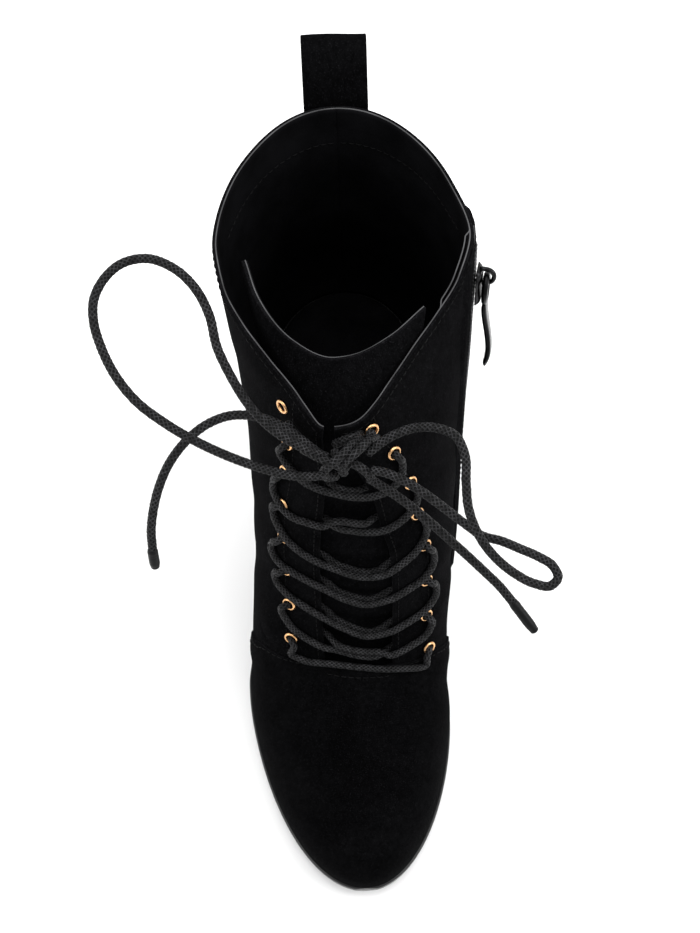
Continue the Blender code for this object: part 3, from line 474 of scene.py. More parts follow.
def slab(face, thickness, bulge):
    """A panel with thickness as points, quads and material numbers, in the boot's millimetres.

    The back is the face moved inwards along its normals. The cut edge between them is a strip whose points
    stand outwards by the bulge times a half wave. Face, back and edge have material numbers 0, 1 and 2."""
    back = face - grid_normals(face) * thickness
    rows, cols = face.shape[:2]
    numbers = np.arange(rows * cols).reshape(rows, cols)
    border = border_of(numbers)
    flat, flat_back = face.reshape(-1, 3), back.reshape(-1, 3)
    inner = np.concatenate([numbers[1, :-1], numbers[:-1, -2], numbers[-2, :0:-1], numbers[:0:-1, 1]])
    outward = unit(flat[border] - flat[inner])
    share = np.linspace(0, 1, EDGE_STEPS + 1)[1:-1, None, None]
    strip = flat[border] * (1 - share) + flat_back[border] * share + outward * bulge * np.sin(math.pi * share)
    total = rows * cols
    count = len(border)
    made = [quads(rows, cols), quads(rows, cols, total, flip=True)]
    between = [np.arange(count) + 2 * total + k * count for k in range(EDGE_STEPS - 1)]
    rings = [border, *between, border + total]
    for upper, lower in zip(rings, rings[1:]):
        made.append(np.stack([upper, lower, np.roll(lower, -1), np.roll(upper, -1)], 1))
    points = np.vstack([flat, flat_back, strip.reshape(-1, 3)])
    index = np.repeat([0, 1, 2], [len(made[0]), len(made[1]), sum(len(m) for m in made[2:])])
    return points, np.vstack(made), index


def slab_piece(name, face, thickness, materials, bulge=0.25, **options):
    """A slab as a piece."""
    points, faces, index = slab(face, thickness, bulge)
    return add_piece(name, mesh_of(name, to_world(points), faces, index), materials, **options)


def frames_along(path, upright):
    """Tangents and two normals along a path: one at right angles to a fixed direction, one to both."""
    tangent = unit(np.gradient(path, axis=0))
    across = unit(np.cross(tangent, upright))
    return tangent, across, np.cross(tangent, across)


def flowing(route, spacing):
    """Points every spacing along a cubic through the route whose direction turns evenly at every point."""
    route = np.array(route, float)
    along = lengths_along(route)
    places = np.linspace(0, along[-1], max(int(along[-1] / spacing), 2) + 1)
    tangent = np.gradient(route, along, axis=0)
    k = np.clip(np.searchsorted(along, places) - 1, 0, len(along) - 2)
    step = (along[k + 1] - along[k])[:, None]
    t = ((places - along[k])[:, None] / step).clip(0, 1)
    held = (2 * t**3 - 3 * t**2 + 1) * route[k] + (3 * t**2 - 2 * t**3) * route[k + 1]
    return held + ((t**3 - 2 * t**2 + t) * tangent[k] + (t**3 - t**2) * tangent[k + 1]) * step


def tube_parts(path, radius, around, upright=(0, 0, 1), relief=None):
    """A round tube: each point lies at the path's point plus the radius turned by an angle round it.

    relief(angle, length) is added to the radius. The ends close with rings that shrink to a point."""
    tangent, across, up = frames_along(path, upright)
    along = lengths_along(path)
    angle = circle(around)
    size = np.broadcast_to(np.asarray(radius, float), along.shape)[:, None] + np.zeros((1, around))
    if relief is not None:
        size = size + relief(angle[None, :], along[:, None])
    turn = np.cos(angle)[None, :, None] * across[:, None] + np.sin(angle)[None, :, None] * up[:, None]
    rings = path[:, None] + turn * size[..., None]
    uv = np.stack(np.broadcast_arrays(angle[None, :] / math.tau, along[:, None] * 0.1), -1)
    first = [path[:1, None] + (rings[:1] - path[:1, None]) * k for k in (1e-3, 0.6, 0.9)]
    last = [path[-1:, None] + (rings[-1:] - path[-1:, None]) * k for k in (0.9, 0.6, 1e-3)]
    rise = np.array([1.0, 0.75, 0.35])[:, None, None] * np.mean(size[0]) * 0.5
    first, last = np.vstack(first) - tangent[0] * rise, np.vstack(last) + tangent[-1] * rise[::-1]
    rings = np.vstack([first, rings, last])
    uv = np.vstack([np.repeat(uv[:1], 3, 0), uv, np.repeat(uv[-1:], 3, 0)])
    return rings, quads(len(rings), around, close_cols=True), 0, uv


def tube_piece(name, path, radius, around, finish, relief=None, **options):
    """A tube as a piece."""
    tube = tube_parts(np.asarray(path, float), radius, around, relief=relief)
    points, faces, index, uv = join_parts([tube])
    mesh = mesh_of(name, to_world(points), faces, index, uv)
    return add_piece(name, mesh, [finish_for(finish)], **options)


EDGE_RADIUS = 0.23
EDGE_SIDES = 8


def edge_piece(name, line, slot="lining_black"):
    """The pale backing that shows as a thin line along a cut edge."""
    tube_piece(name, line, EDGE_RADIUS, EDGE_SIDES, "edge_line", slot=slot)


# The braid: strands each way, length of a strand's turn round the cord, turns per unit of its UV, depth.
STRANDS = 6
BRAID_PITCH = 5.2
BRAID_TURNS = 1.92
BRAID_DEPTH = 0.19


def braid_height(angle, along):
    """Height of a braid: the higher of two families of strands, each a rounded wave along its own helix."""
    phase = along / BRAID_PITCH * math.tau
    left = np.cos(STRANDS * angle + STRANDS * phase / 2)
    right = np.cos(STRANDS * angle - STRANDS * phase / 2)
    over = 0.25 * np.cos(STRANDS * phase / 4)
    return BRAID_DEPTH * (np.maximum(left * (0.75 + over), right * (0.75 - over)) - 0.35)


# Materials


def node(tree, kind, settings=None, **inputs):
    """A shader node with its settings, and its inputs set to a value or joined to another node's socket."""
    made = tree.nodes.new(kind)
    for key, value in (settings or {}).items():
        setattr(made, key, value)
    for key, value in inputs.items():
        socket = made.inputs[int(key[1:])] if key[1:].isdigit() else made.inputs[key.replace("_", " ")]
        if isinstance(value, bpy.types.NodeSocket):
            tree.links.new(value, socket)
        else:
            socket.default_value = value
    return made


def maths(tree, kind, *values):
    """The result of a maths node on one to three values, each a number or a socket."""
    inputs = {f"_{place}": value for place, value in enumerate(values)}
    return node(tree, "ShaderNodeMath", {"operation": kind}, **inputs).outputs[0]


def ramp(tree, factor, *stops):
    """A colour ramp between stops of place and grey level or colour."""
    made = node(tree, "ShaderNodeValToRGB", None, Fac=factor)
    band = made.color_ramp
    while len(band.elements) < len(stops):
        band.elements.new(0.5)
    for element, (place, color) in zip(band.elements, stops):
        element.position = place
        element.color = (*color, 1.0) if isinstance(color, tuple) else (color, color, color, 1.0)
    return made.outputs["Color"]


def start_material(name, **principled):
    """An empty material with its Principled shader, whose constants are set on its own sockets."""
    material = bpy.data.materials.new(name)
    material.use_nodes = True
    tree = material.node_tree
    tree.nodes.clear()
    shader = node(tree, "ShaderNodeBsdfPrincipled")
    for key, value in principled.items():
        shader.inputs[key.replace("_", " ")].default_value = value
    output = node(tree, "ShaderNodeOutputMaterial")
    tree.links.new(shader.outputs["BSDF"], output.inputs["Surface"])
    return material, tree, shader


def times(color, share):
    """A colour, each of its values times a share."""
    return tuple(c * share for c in color)


def place_socket(tree, scale=(1.0, 1.0, 1.0)):
    """The piece's Object coordinates, stretched along an axis by a small scale there."""
    source = node(tree, "ShaderNodeTexCoord").outputs["Object"]
    return node(tree, "ShaderNodeMapping", None, Vector=source, Scale=scale).outputs["Vector"]


def noise(tree, where, scale, detail=3.0, roughness=0.6, distortion=0.0):
    """Noise of a scale per metre."""
    return node(
        tree, "ShaderNodeTexNoise", None, Vector=where, Scale=scale, Detail=detail, Roughness=roughness,
        Distortion=distortion,
    ).outputs["Fac"]


def add_bump(tree, shader, height_socket, distance):
    """Relief of a depth in metres on the shader's normal."""
    bump = node(tree, "ShaderNodeBump", None, Height=height_socket, Distance=distance, Strength=1.0)
    tree.links.new(bump.outputs["Normal"], shader.inputs["Normal"])


def mixed(tree, kind, a, b, factor=1.0):
    """Two colours multiplied, added or mixed by a factor."""
    mix = node(tree, "ShaderNodeMixRGB", {"blend_type": kind}, Fac=factor, Color1=a, Color2=b)
    return mix.outputs["Color"]


def suede_material(name, dark, light, sheen=0.005, nap=0.0004):
    """Brushed nap: slow patches where the pile lies over, short streaks along it, and single pale fibres."""
    material, tree, shader = start_material(
        name, Roughness=0.95, Specular_IOR_Level=0.008, Sheen_Weight=sheen, Sheen_Roughness=0.45,
        Sheen_Tint=(0.55, 0.55, 0.60, 1.0),
    )
    where = place_socket(tree)
    streaks = place_socket(tree, (1.0, 1.0, 0.45))
    patches = noise(tree, where, 34.0, 5.0, 0.6, 0.8)
    brushed = noise(tree, streaks, 520.0, 3.0, 0.65, 0.4)
    fibres = noise(tree, streaks, 2600.0, 2.0, 0.7)
    base = ramp(tree, patches, (0.30, dark), (0.72, light))
    strokes = ramp(tree, brushed, (0.30, 0.62), (0.70, 1.45))
    specks = ramp(tree, fibres, (0.58, 0.0), (0.74, times(light, 3.2)))
    color = mixed(tree, "ADD", mixed(tree, "MULTIPLY", base, strokes), specks)
    tree.links.new(color, shader.inputs["Base Color"])
    relief = mixed(tree, "MIX", brushed, fibres, 0.45)
    add_bump(tree, shader, relief, nap)
    return material


def plain_material(name, color, roughness, scale, distance, spread=0.35, **constants):
    """A fine grained finish: colour and roughness drift with one noise, and a finer one gives relief."""
    material, tree, shader = start_material(name, **constants)
    where = place_socket(tree)
    drift = noise(tree, where, 60.0, 4.0)
    grain = noise(tree, where, scale, 3.0)
    tone = ramp(tree, drift, (0.32, times(color, 1 - spread)), (0.68, times(color, 1 + spread)))
    tree.links.new(tone, shader.inputs["Base Color"])
    rough = ramp(tree, grain, (0.30, max(roughness - 0.08, 0.02)), (0.70, min(roughness + 0.08, 1.0)))
    tree.links.new(rough, shader.inputs["Roughness"])
    add_bump(tree, shader, grain, distance)
    return material


def braid_material(name, color, roughness):
    """Waxed braid: two families of strands from crossed waves in the cord's own UV, with painted shade in the
    gaps between them and painted highlights on their crowns.
    """
    material, tree, shader = start_material(name, Specular_IOR_Level=0.10)
    uv = node(tree, "ShaderNodeTexCoord").outputs["UV"]
    parts = node(tree, "ShaderNodeSeparateXYZ", None, Vector=uv)
    waves = []
    for sense in (1.0, -1.0):
        turned = maths(tree, "MULTIPLY", parts.outputs["X"], float(STRANDS))
        steep = sense * STRANDS * BRAID_TURNS / 2
        carried = maths(tree, "MULTIPLY_ADD", parts.outputs["Y"], steep, turned)
        waves.append(maths(tree, "COSINE", maths(tree, "MULTIPLY", carried, math.tau)))
    crown = maths(tree, "MAXIMUM", *waves)
    where = place_socket(tree)
    drift = noise(tree, where, 420.0, 3.0)
    # Painted shade and highlight: the gaps between strands fall to an eighth of the lace's colour and the
    # crowns rise to nearly five times it.
    base = ramp(tree, crown, (0.25, times(color, 0.12)), (0.66, color), (0.99, times(color, 4.6)))
    shade = ramp(tree, drift, (0.36, 0.45), (0.64, 1.8))
    tree.links.new(mixed(tree, "MULTIPLY", base, shade), shader.inputs["Base Color"])
    rough = ramp(tree, drift, (0.30, roughness - 0.12), (0.70, roughness + 0.15))
    tree.links.new(rough, shader.inputs["Roughness"])
    relief = mixed(tree, "MIX", crown, drift, 0.3)
    add_bump(tree, shader, relief, 0.00018)
    return material


def metal_material(name, color, roughness, wear):
    """Plated metal: fine scratches along one way, slow drift in tone, and darker tarnish in patches."""
    material, tree, shader = start_material(name, Metallic=1.0)
    where = place_socket(tree)
    long_way = place_socket(tree, (1.0, 6.0, 1.0))
    drift = noise(tree, where, 380.0, 4.0)
    scratches = noise(tree, long_way, 2400.0, 2.0)
    tone = ramp(tree, drift, (0.30, times(color, 1 - wear)), (0.62, color))
    tree.links.new(tone, shader.inputs["Base Color"])
    rough = ramp(tree, scratches, (0.30, roughness - 0.07), (0.70, roughness + 0.12))
    tree.links.new(rough, shader.inputs["Roughness"])
    add_bump(tree, shader, scratches, 0.00002)
    return material


MATERIALS = {}
# Suedes: name, shares of the suede's colour in its dark and its light patches.
SUEDES = {
    "suede": ("suede_black", 0.5, 1.5),
    # The vamp's copy is the same suede made darker all over: painted shade on the vamp's top.
    "suede_vamp": ("suede_vamp", 0.38, 1.05),
    "suede_back": ("suede_back", 0.5, 1.0),
    "raw_edge": ("raw_edge", 1.1, 2.4),
}
# Metals: name, share of the zip's colour, roughness, and how much darker the tarnish is.
METALS = {
    "eyelet": ("eyelet_gold", 1.0, 0.24, 0.35),
    "zip": ("zip_gunmetal", 1.0, 0.24, 0.6),
    "slider": ("slider_gunmetal", 0.28, 0.2, 0.85),
    "pull": ("pull_gunmetal", 0.09, 0.22, 0.5),
}
# Plain finishes: name, colour and share of it, roughness, grain per metre and its depth, spread of tone,
# specular.
PLAINS = {
    "edge_line": ("edge_line", "edge_line", 1.0, 0.8, 3200.0, 0.00008, 0.5, 0.2),
    "lining": ("lining_black", "lining", 1.0, 0.85, 1900.0, 0.00012, 0.5, 0.03),
    "rubber": ("rubber_black", "sole", 1.0, 0.34, 700.0, 0.00002, 0.3, 0.3),
    "tread": ("tread_black", "sole", 1.0, 0.62, 1500.0, 0.00006, 0.4, 0.2),
    "thread": ("thread_black", "thread", 1.0, 0.6, 4200.0, 0.00005, 0.5, 0.06),
    "tip": ("tip_black", "lace", 0.6, 0.4, 1200.0, 0.00003, 0.3, 0.12),
    "tape": ("zip_tape", "suede", 1.0, 0.9, 2600.0, 0.0001, 0.5, 0.05),
}


def finish_for(name):
    """Each finish, made the first time that a piece asks for it."""
    if name in MATERIALS:
        return MATERIALS[name]
    colours = bpy.context.scene.boot_colours
    black, metal = tuple(colours.suede), tuple(colours.zip_metal)
    if name in SUEDES:
        label, dark, light = SUEDES[name]
        made = suede_material(label, times(black, dark), times(black, light))
    elif name in METALS:
        label, share, roughness, wear = METALS[name]
        color = tuple(colours.eyelet) if name == "eyelet" else times(metal, share)
        made = metal_material(label, color, roughness, wear)
    elif name == "lace":
        made = braid_material("lace_black", tuple(colours.lace), 0.46)
    else:
        label, source, share, roughness, scale, depth, spread, specular = PLAINS[name]
        color = times(tuple(getattr(colours, source)), share)
        made = plain_material(label, color, roughness, scale, depth, spread, Specular_IOR_Level=specular)
    MATERIALS[name] = made
    return made


def suede_set(face="suede"):
    """The finishes of a suede panel's face, back and cut edge."""
    return [finish_for(face), finish_for("suede_back"), finish_for("raw_edge")]


# Sizes and colours that a user would change


class BootSizes(bpy.types.PropertyGroup):
    """Sizes of the dressing pieces, in metres."""

    lace: bpy.props.FloatProperty(name="Lace", description="Lace diameter", default=0.003, unit="LENGTH")
    suede: bpy.props.FloatProperty(name="Suede", description="Suede thickness", default=0.0012, unit="LENGTH")
    lining: bpy.props.FloatProperty(
        name="Lining", description="Lining thickness", default=0.0006, unit="LENGTH"
    )
    stitch: bpy.props.FloatProperty(name="Stitch", description="Stitch pitch", default=0.0026, unit="LENGTH")
    thread: bpy.props.FloatProperty(
        name="Thread", description="Thread diameter", default=0.00038, unit="LENGTH"
    )
    tooth: bpy.props.FloatProperty(name="Tooth", description="Zip tooth pitch", default=0.0016, unit="LENGTH")


def color_property(name, description, default):
    """A colour that a user may change."""
    return bpy.props.FloatVectorProperty(name=name, description=description, default=default, subtype="COLOR")


class BootColours(bpy.types.PropertyGroup):
    """Base colours of the finishes."""

    suede: color_property("Suede", "Suede's mean colour", (0.0019, 0.0019, 0.0021))
    lining: color_property("Lining", "Lining's colour", (0.0026, 0.0026, 0.0030))
    edge_line: color_property("Edge line", "Pale backing seen on cut edges", (0.060, 0.060, 0.062))
    sole: color_property("Sole", "Rubber's colour", (0.004, 0.004, 0.0043))
    lace: color_property("Lace", "Lace's colour", (0.0048, 0.0048, 0.0051))
    thread: color_property("Thread", "Thread's colour", (0.0036, 0.0036, 0.0038))
    eyelet: color_property("Eyelet", "Eyelet's metal", (0.86, 0.50, 0.24))
    zip_metal: color_property("Zip", "Zip's metal", (0.10, 0.10, 0.104))


def size(name):
    """One of the user's sizes in the boot's millimetres."""
    return getattr(bpy.context.scene.boot_sizes, name) / MM


# Stage and camera

PHOTO_HEIGHT = 933
CAMERA_ELEVATION = 64.21
CAMERA_ROLL = -2.27
CAMERA_DISTANCE = 0.6768
CAMERA_TARGET = (-0.00008, -0.0555, 0.080)
FOCAL_PIXELS = 1730.7
SENSOR = 36.0


def make_camera():
    """Looks along +Y and down at the elevation, then turns about its own axis by the roll."""
    rise, roll = math.radians(CAMERA_ELEVATION), math.radians(CAMERA_ROLL)
    back = Vector((0.0, -math.cos(rise), math.sin(rise)))
    right, up = Vector((1.0, 0.0, 0.0)), Vector((0.0, math.sin(rise), math.cos(rise)))
    turned_right = math.cos(roll) * right + math.sin(roll) * up
    turned_up = math.cos(roll) * up - math.sin(roll) * right
    camera = bpy.data.objects.new("photo_camera", bpy.data.cameras.new("photo_camera"))
    camera.data.sensor_width = SENSOR
    camera.data.lens = FOCAL_PIXELS * SENSOR / PHOTO_HEIGHT
    camera.data.clip_start = 0.01
    axes = Matrix((turned_right, turned_up, back)).transposed().to_4x4()
    camera.matrix_world = Matrix.Translation(Vector(CAMERA_TARGET) + back * CAMERA_DISTANCE) @ axes
    bpy.context.scene.collection.objects.link(camera)
    bpy.context.scene.camera = camera


SKY_STRENGTH = 0.85
# Soft boxes: name, place, what it faces, width, height, watts.
LIGHTS = (
    ("top_box", (0.15, 0.15, 1.5), (0.0, -0.08, 0.1), 1.4, 1.4, 21.0),
    ("left_box", (-1.3, -0.2, 0.75), (0.0, -0.05, 0.1), 1.0, 1.0, 9.0),
    ("right_box", (1.3, -0.3, 0.9), (0.0, -0.05, 0.1), 1.0, 1.0, 13.0),
)


def make_lights():
    """Adds the soft boxes, turned to what they face, and an even white sky."""
    for name, place, target, width, tall, watts in LIGHTS:
        lamp = bpy.data.lights.new(name, "AREA")
        lamp.shape = "RECTANGLE"
        lamp.size, lamp.size_y, lamp.energy = width, tall, watts
        item = bpy.data.objects.new(name, lamp)
        item.location = place
        item.rotation_euler = (Vector(place) - Vector(target)).to_track_quat("Z", "Y").to_euler()
        bpy.context.scene.collection.objects.link(item)
    world = bpy.data.worlds.new("studio")
    world.use_nodes = True
    world.node_tree.nodes["Background"].inputs["Color"].default_value = (1.0, 1.0, 1.0, 1.0)
    world.node_tree.nodes["Background"].inputs["Strength"].default_value = SKY_STRENGTH
    bpy.context.scene.world = world
    bpy.context.scene.view_settings.view_transform = "Standard"


FLOOR_REACH = 2.5
FLOOR_DROP = 0.0002


def make_floor():
    """A flat sheet under the boot, a little below its soles' contact."""
    signs = np.array([(-1, -1), (1, -1), (1, 1), (-1, 1)], float)
    corners = np.column_stack([signs * FLOOR_REACH, np.full(4, -FLOOR_DROP)])
    mesh = mesh_of("floor", corners, np.array([[0, 1, 2, 3]]))
    material, tree, shader = start_material("floor_white", Roughness=0.7, Specular_IOR_Level=0.2)
    where = place_socket(tree)
    tone = ramp(tree, noise(tree, where, 8.0), (0.3, 0.86), (0.7, 0.88))
    tree.links.new(tone, shader.inputs["Base Color"])
    mesh.materials.append(material)
    item = bpy.data.objects.new("floor", mesh)
    bpy.context.scene.collection.objects.link(item)


class BOOT_OT_stage(bpy.types.Operator):
    """Adds the camera of the photograph, the soft boxes and the floor."""

    bl_idname = "boot.stage"
    bl_label = "Stage"

    def execute(self, context):
        make_camera()
        make_lights()
        make_floor()
        return {"FINISHED"}


# Laces

BRAID_STEP = 0.5
BRAID_AROUND = 20
TIP_SIDES = 24


def braid_piece(name, path, nodes, share=1.0):
    """A braided lace along a path of the boot's millimetres, its diameter drawn in to a share."""
    radius = share * size("lace") / 2
    return tube_piece(name, path, radius, BRAID_AROUND, "lace", braid_height, nodes=nodes, slot="lace_black")


def tip_piece(name, ends, nodes):
    """A moulded lace tip: its radius swells from the lace to the tip's size and narrows to a rounded end."""
    start, end = np.array(ends[0], float), np.array(ends[1], float)
    t = np.linspace(0, 1, 40)
    path = start + (end - start) * t[:, None]
    grip = TIP_RADIUS * (0.86 + 0.10 * ease(t / 0.12) - 0.16 * ease((t - 0.75) / 0.25))
    pinch = 0.07 * np.exp(-(((t - 0.22) / 0.04) ** 2)) + 0.07 * np.exp(-(((t - 0.34) / 0.04) ** 2))
    return tube_piece(name, path, grip - pinch, TIP_SIDES, "tip", nodes=nodes, slot="lace_black")


class BOOT_OT_free_laces(bpy.types.Operator):
    """Lays the bow's two loops and two ends along their routes and puts tips on the ends."""

    bl_idname = "boot.free_laces"
    bl_label = "Bow Loops and Ends"

    def execute(self, context):
        tips = {
            "left_end": tip_piece("tip_left", LEFT_TIP, ["lace_tip_left"]),
            "right_end": tip_piece("tip_right", RIGHT_TIP, ["lace_tip_right"]),
        }
        rows = (
            ("left_loop", LEFT_LOOP, "lace_loop_left"),
            ("left_end", LEFT_END, "lace_end_left"),
            ("right_loop", RIGHT_LOOP, "lace_loop_right"),
            ("right_end", RIGHT_END, "lace_end_right"),
        )
        for name, route, cad_node in rows:
            path = flowing(route, BRAID_STEP)
            item = braid_piece(f"lace_{name}", path, [cad_node])
        return {"FINISHED"}


def front_station(x, z):
    """Stations of the upper's front face at arrays of offsets and heights, found by halving a bracket."""
    x, z = np.broadcast_arrays(np.asarray(x, float), np.asarray(z, float))
    low, high = np.full(x.shape, 20.0), np.full(x.shape, 170.0)
    ridge = look_up(RIDGE, z)
    for _ in range(36):
        middle = (low + high) / 2
        level = level_at(middle, z)
        lateral = x - outer_offset(middle, level, -1)
        medial = outer_offset(middle, level, 1) - x
        reach = np.where(x < ridge, lateral, medial)
        inside = (z - feather(middle) < cover(middle)) & (reach >= 0)
        high = np.where(inside, middle, high)
        low = np.where(inside, low, middle)
    return (low + high) / 2


def on_front(x, z, lift=0.0):
    """Points above the front face at offsets and heights, lifted along its outward normal."""
    x, z = np.broadcast_arrays(np.asarray(x, float), np.asarray(z, float))
    points = np.stack([x, front_station(x, z), z], -1)
    across = (front_station(x + 1, z) - front_station(x - 1, z)) / 2
    up = (front_station(x, z + 1) - front_station(x, z - 1)) / 2
    normal = unit(np.stack([across, -np.ones_like(across), up], -1))
    return points + normal * np.asarray(lift, float)[..., None], normal


# The lacing's arcs over the tongue, by pair of eyelets: offset and height from the lateral end to the medial.
LACING_ARCS = {
    2: (
        (-22.9, 156.8), (-21.3, 155.1), (-18.3, 154.8), (-13.3, 154.1), (-6.2, 151.8), (0.6, 149.2),
        (7.1, 148.9), (13.1, 150.5), (16.6, 153.7), (16.7, 159.3),
    ),
    3: (
        (-26.0, 138.5), (-25.9, 133.6), (-21.9, 131.7), (-15.6, 132.6), (-9.7, 132.0), (-2.3, 130.9),
        (5.0, 129.1), (11.1, 129.6), (17.9, 133.3), (21.9, 137.9), (22.3, 143.1),
    ),
    4: (
        (-27.0, 126.8), (-26.6, 122.9), (-25.0, 120.4), (-21.7, 116.8), (-16.5, 113.8), (-11.9, 111.8),
        (-5.2, 108.6), (2.0, 105.6), (9.7, 105.6), (17.4, 110.3), (22.9, 114.8), (25.5, 120.3),
        (24.8, 127.3),
    ),
    5: (
        (-28.1, 110.1), (-28.8, 105.0), (-26.7, 102.8), (-21.0, 102.1), (-12.4, 99.2), (-3.5, 93.5),
        (3.9, 90.7), (12.0, 92.6), (19.9, 96.5), (25.6, 98.7), (28.2, 102.4), (27.8, 109.4),
    ),
    6: (
        (-28.3, 95.8), (-28.1, 92.3), (-26.0, 90.4), (-20.3, 88.2), (-13.1, 83.8), (-4.0, 77.0),
        (3.8, 73.2), (11.8, 74.7), (19.8, 79.0), (26.7, 82.6), (29.1, 85.4), (28.7, 91.5),
    ),
    7: (
        (-27.7, 81.6), (-26.4, 78.3), (-23.6, 74.0), (-16.0, 68.9), (-6.7, 65.0), (3.2, 62.1),
        (12.8, 62.7), (20.1, 65.7), (26.0, 68.3), (28.3, 72.9),
    ),
    8: (
        (-27.2, 63.6), (-24.8, 60.3), (-19.9, 59.1), (-12.6, 59.3), (-3.5, 59.0), (6.1, 58.2),
        (16.8, 56.6), (25.1, 53.0), (29.6, 52.5),
    ),
}

LACING_SHARE = 0.87
# Pairs whose two strands part over the tongue: the strand's sense and how far it is raised.
PARTED = {3: (-1, 3.4), 7: (1, 3.0)}


# A crossing's way into an eyelet: distance from the eyelet's middle, lift off the upper.
MOUTH = ((1.9, 2.25), (0.5, 0.9), (0.0, -1.2), (0.0, -3.6))
# The bar's way out of an eyelet: distance inwards and upwards from its middle, lift off the upper.
BAR_END = ((0.0, 0.0, -3.6), (0.0, 0.0, -1.2), (0.3, -0.2, 0.9), (1.6, -1.2, 2.1))
# Lifts of a strand over and behind a facing, and over an eyelet's rim, where a bell of this half width
# adds it.
OVER_FACING = 1.5
BEHIND_FACING = -3.4
OVER_RIM = 1.1
RIM_BELL = 2.8
# How far a strand's hidden end runs behind a facing, and the runs on which it rises and lands.
HIDDEN_RUN = 4.5
RISING_RUN = 7.0
LANDING_RUN = 6.0


def eyelet_mouth(eyelet, toward):
    """Points over an eyelet's rim and down its bore, coming from a point beside it."""
    spots = eyelet + unit(toward - eyelet) * column(MOUTH, 0)[:, None]
    return on_front(spots[:, 0], spots[:, 1], column(MOUTH, 1))[0]


def strand_route(number, sense):
    """The route of one strand of a pair of eyelets, along the pair's arc.

    sense is 1 for the strand that runs to the medial eyelet and -1 for the other. The first goes from eyelet
    to eyelet over the second, whose ends stay behind the facings. In a parted pair each strand rises from
    behind its own facing and goes to the far eyelet. Heights come from smooth steps of the distance to the
    facings' edges, and a bell of the distance to an eyelet lifts the strand over its rim."""
    lateral_z, lateral_x, medial_z, medial_x = EYELETS[number - 1]
    eyelets = {1: np.array([medial_x, medial_z]), -1: np.array([lateral_x, lateral_z])}
    arc = flowing(LACING_ARCS[number][::sense], 1.0)
    x, z = arc[:, 0], arc[:, 1]
    near, far = (1, 2) if sense > 0 else (2, 1)
    inside = sense * (x - look_up(FACINGS, z, near))
    beyond = sense * (x - look_up(FACINGS, z, far))
    parted, raised = PARTED.get(number, (0, 0.0))
    whole = not parted and sense > 0
    kept = np.ones(len(x), bool) if whole else inside > -HIDDEN_RUN
    if not parted and sense < 0:
        kept &= beyond < HIDDEN_RUN
    x, z, inside, beyond = x[kept], z[kept], inside[kept], beyond[kept]
    risen, landed = ease(inside / RISING_RUN), ease((beyond + LANDING_RUN) / LANDING_RUN)
    if whole:
        lift = OVER_FACING - 0.3 * risen * (1 - landed)
    elif parted:
        lift = BEHIND_FACING * (1 - risen) + OVER_FACING * landed
        lift += (1.2 if sense > 0 else 0.4) * risen * (1 - landed)
    else:
        lift = BEHIND_FACING + 2.1 * risen * (1 - landed)
    if sense == parted:
        z = z + raised * (1 - landed)
    for eyelet in eyelets.values():
        away = np.hypot(x - eyelet[0], z - eyelet[1])
        lift = lift + OVER_RIM * np.exp(-((away / RIM_BELL) ** 2)) * (lift > 0)
    route = [on_front(x, z, lift)[0][::3]]
    if whole:
        route.insert(0, eyelet_mouth(eyelets[-sense], np.array([x[0], z[0]]))[::-1])
    if whole or parted:
        route.append(eyelet_mouth(eyelets[sense], np.array([x[-1], z[-1]])))
    return np.vstack(route)


class BOOT_OT_lacing(bpy.types.Operator):
    """Threads the crossings under each pair of eyelets, the bar at the lowest pair and the two leads."""

    bl_idname = "boot.lacing"
    bl_label = "Lacing"

    def execute(self, context):
        lateral_z, lateral_x, medial_z, medial_x = EYELETS[-1]
        arc = flowing(LACING_ARCS[len(EYELETS)][1:-1], 3.0)
        bar, _ = on_front(arc[:, 0], arc[:, 1], OVER_FACING)
        inwards, upwards, lift = (column(BAR_END, i) for i in range(3))
        start, _ = on_front(lateral_x + inwards, lateral_z + upwards, lift)
        end, _ = on_front(medial_x - inwards, medial_z + upwards, lift)
        path = flowing(np.vstack([start, bar, end[::-1]]), BRAID_STEP)
        braid_piece("lace_bar_strand", path, ["lace_bar"], LACING_SHARE)
        for number in range(len(EYELETS) - 1, 1, -1):
            for sense, name in ((1, "left"), (-1, "right")):
                path = flowing(strand_route(number, sense), BRAID_STEP)
                braid_piece(f"lace_{number}_from_{name}", path, [f"lace_crossing_{number}"], LACING_SHARE)
        braid_piece("lace_lead_left", flowing(LATERAL_LEAD, BRAID_STEP), ["lace_lead_lateral"])
        braid_piece("lace_lead_right", flowing(MEDIAL_LEAD, BRAID_STEP), ["lace_lead_medial"])
        return {"FINISHED"}


# The knot's turns of lace: offset, station, height.
KNOT_TURNS = {
    "knot_wrap": (
        (4.4, 115.2, 177.0), (2.6, 110.9, 182.0), (0.2, 105.8, 185.0), (-3.2, 102.1, 185.4),
        (-6.6, 100.8, 182.5), (-8.6, 100.6, 178.5), (-8.1, 100.6, 174.0), (-4.8, 102.2, 171.0),
    ),
    "knot_twist": (
        (8.9, 112.5, 177.5), (7.2, 109.9, 182.0), (4.4, 105.7, 185.5), (1.4, 102.8, 185.8),
        (-1.3, 101.8, 183.0), (-3.0, 101.5, 178.5), (-2.1, 101.8, 174.0),
    ),
    "knot_tuck": (
        (-15.3, 108.2, 180.0), (-11.7, 104.8, 182.3), (-7.8, 101.9, 183.4), (-4.3, 100.9, 182.0),
        (-1.1, 101.5, 179.0),
    ),
    "knot_under": (
        (-5.2, 107.7, 178.0), (-1.6, 103.4, 180.5), (2.5, 100.9, 180.8), (5.7, 99.4, 177.6),
        (7.0, 98.8, 174.0),
    ),
    "knot_back": (
        (-4.7, 111.1, 177.0), (-1.4, 110.4, 181.0), (1.6, 110.3, 182.5), (4.5, 110.1, 180.5),
        (6.1, 109.5, 177.0),
    ),
}


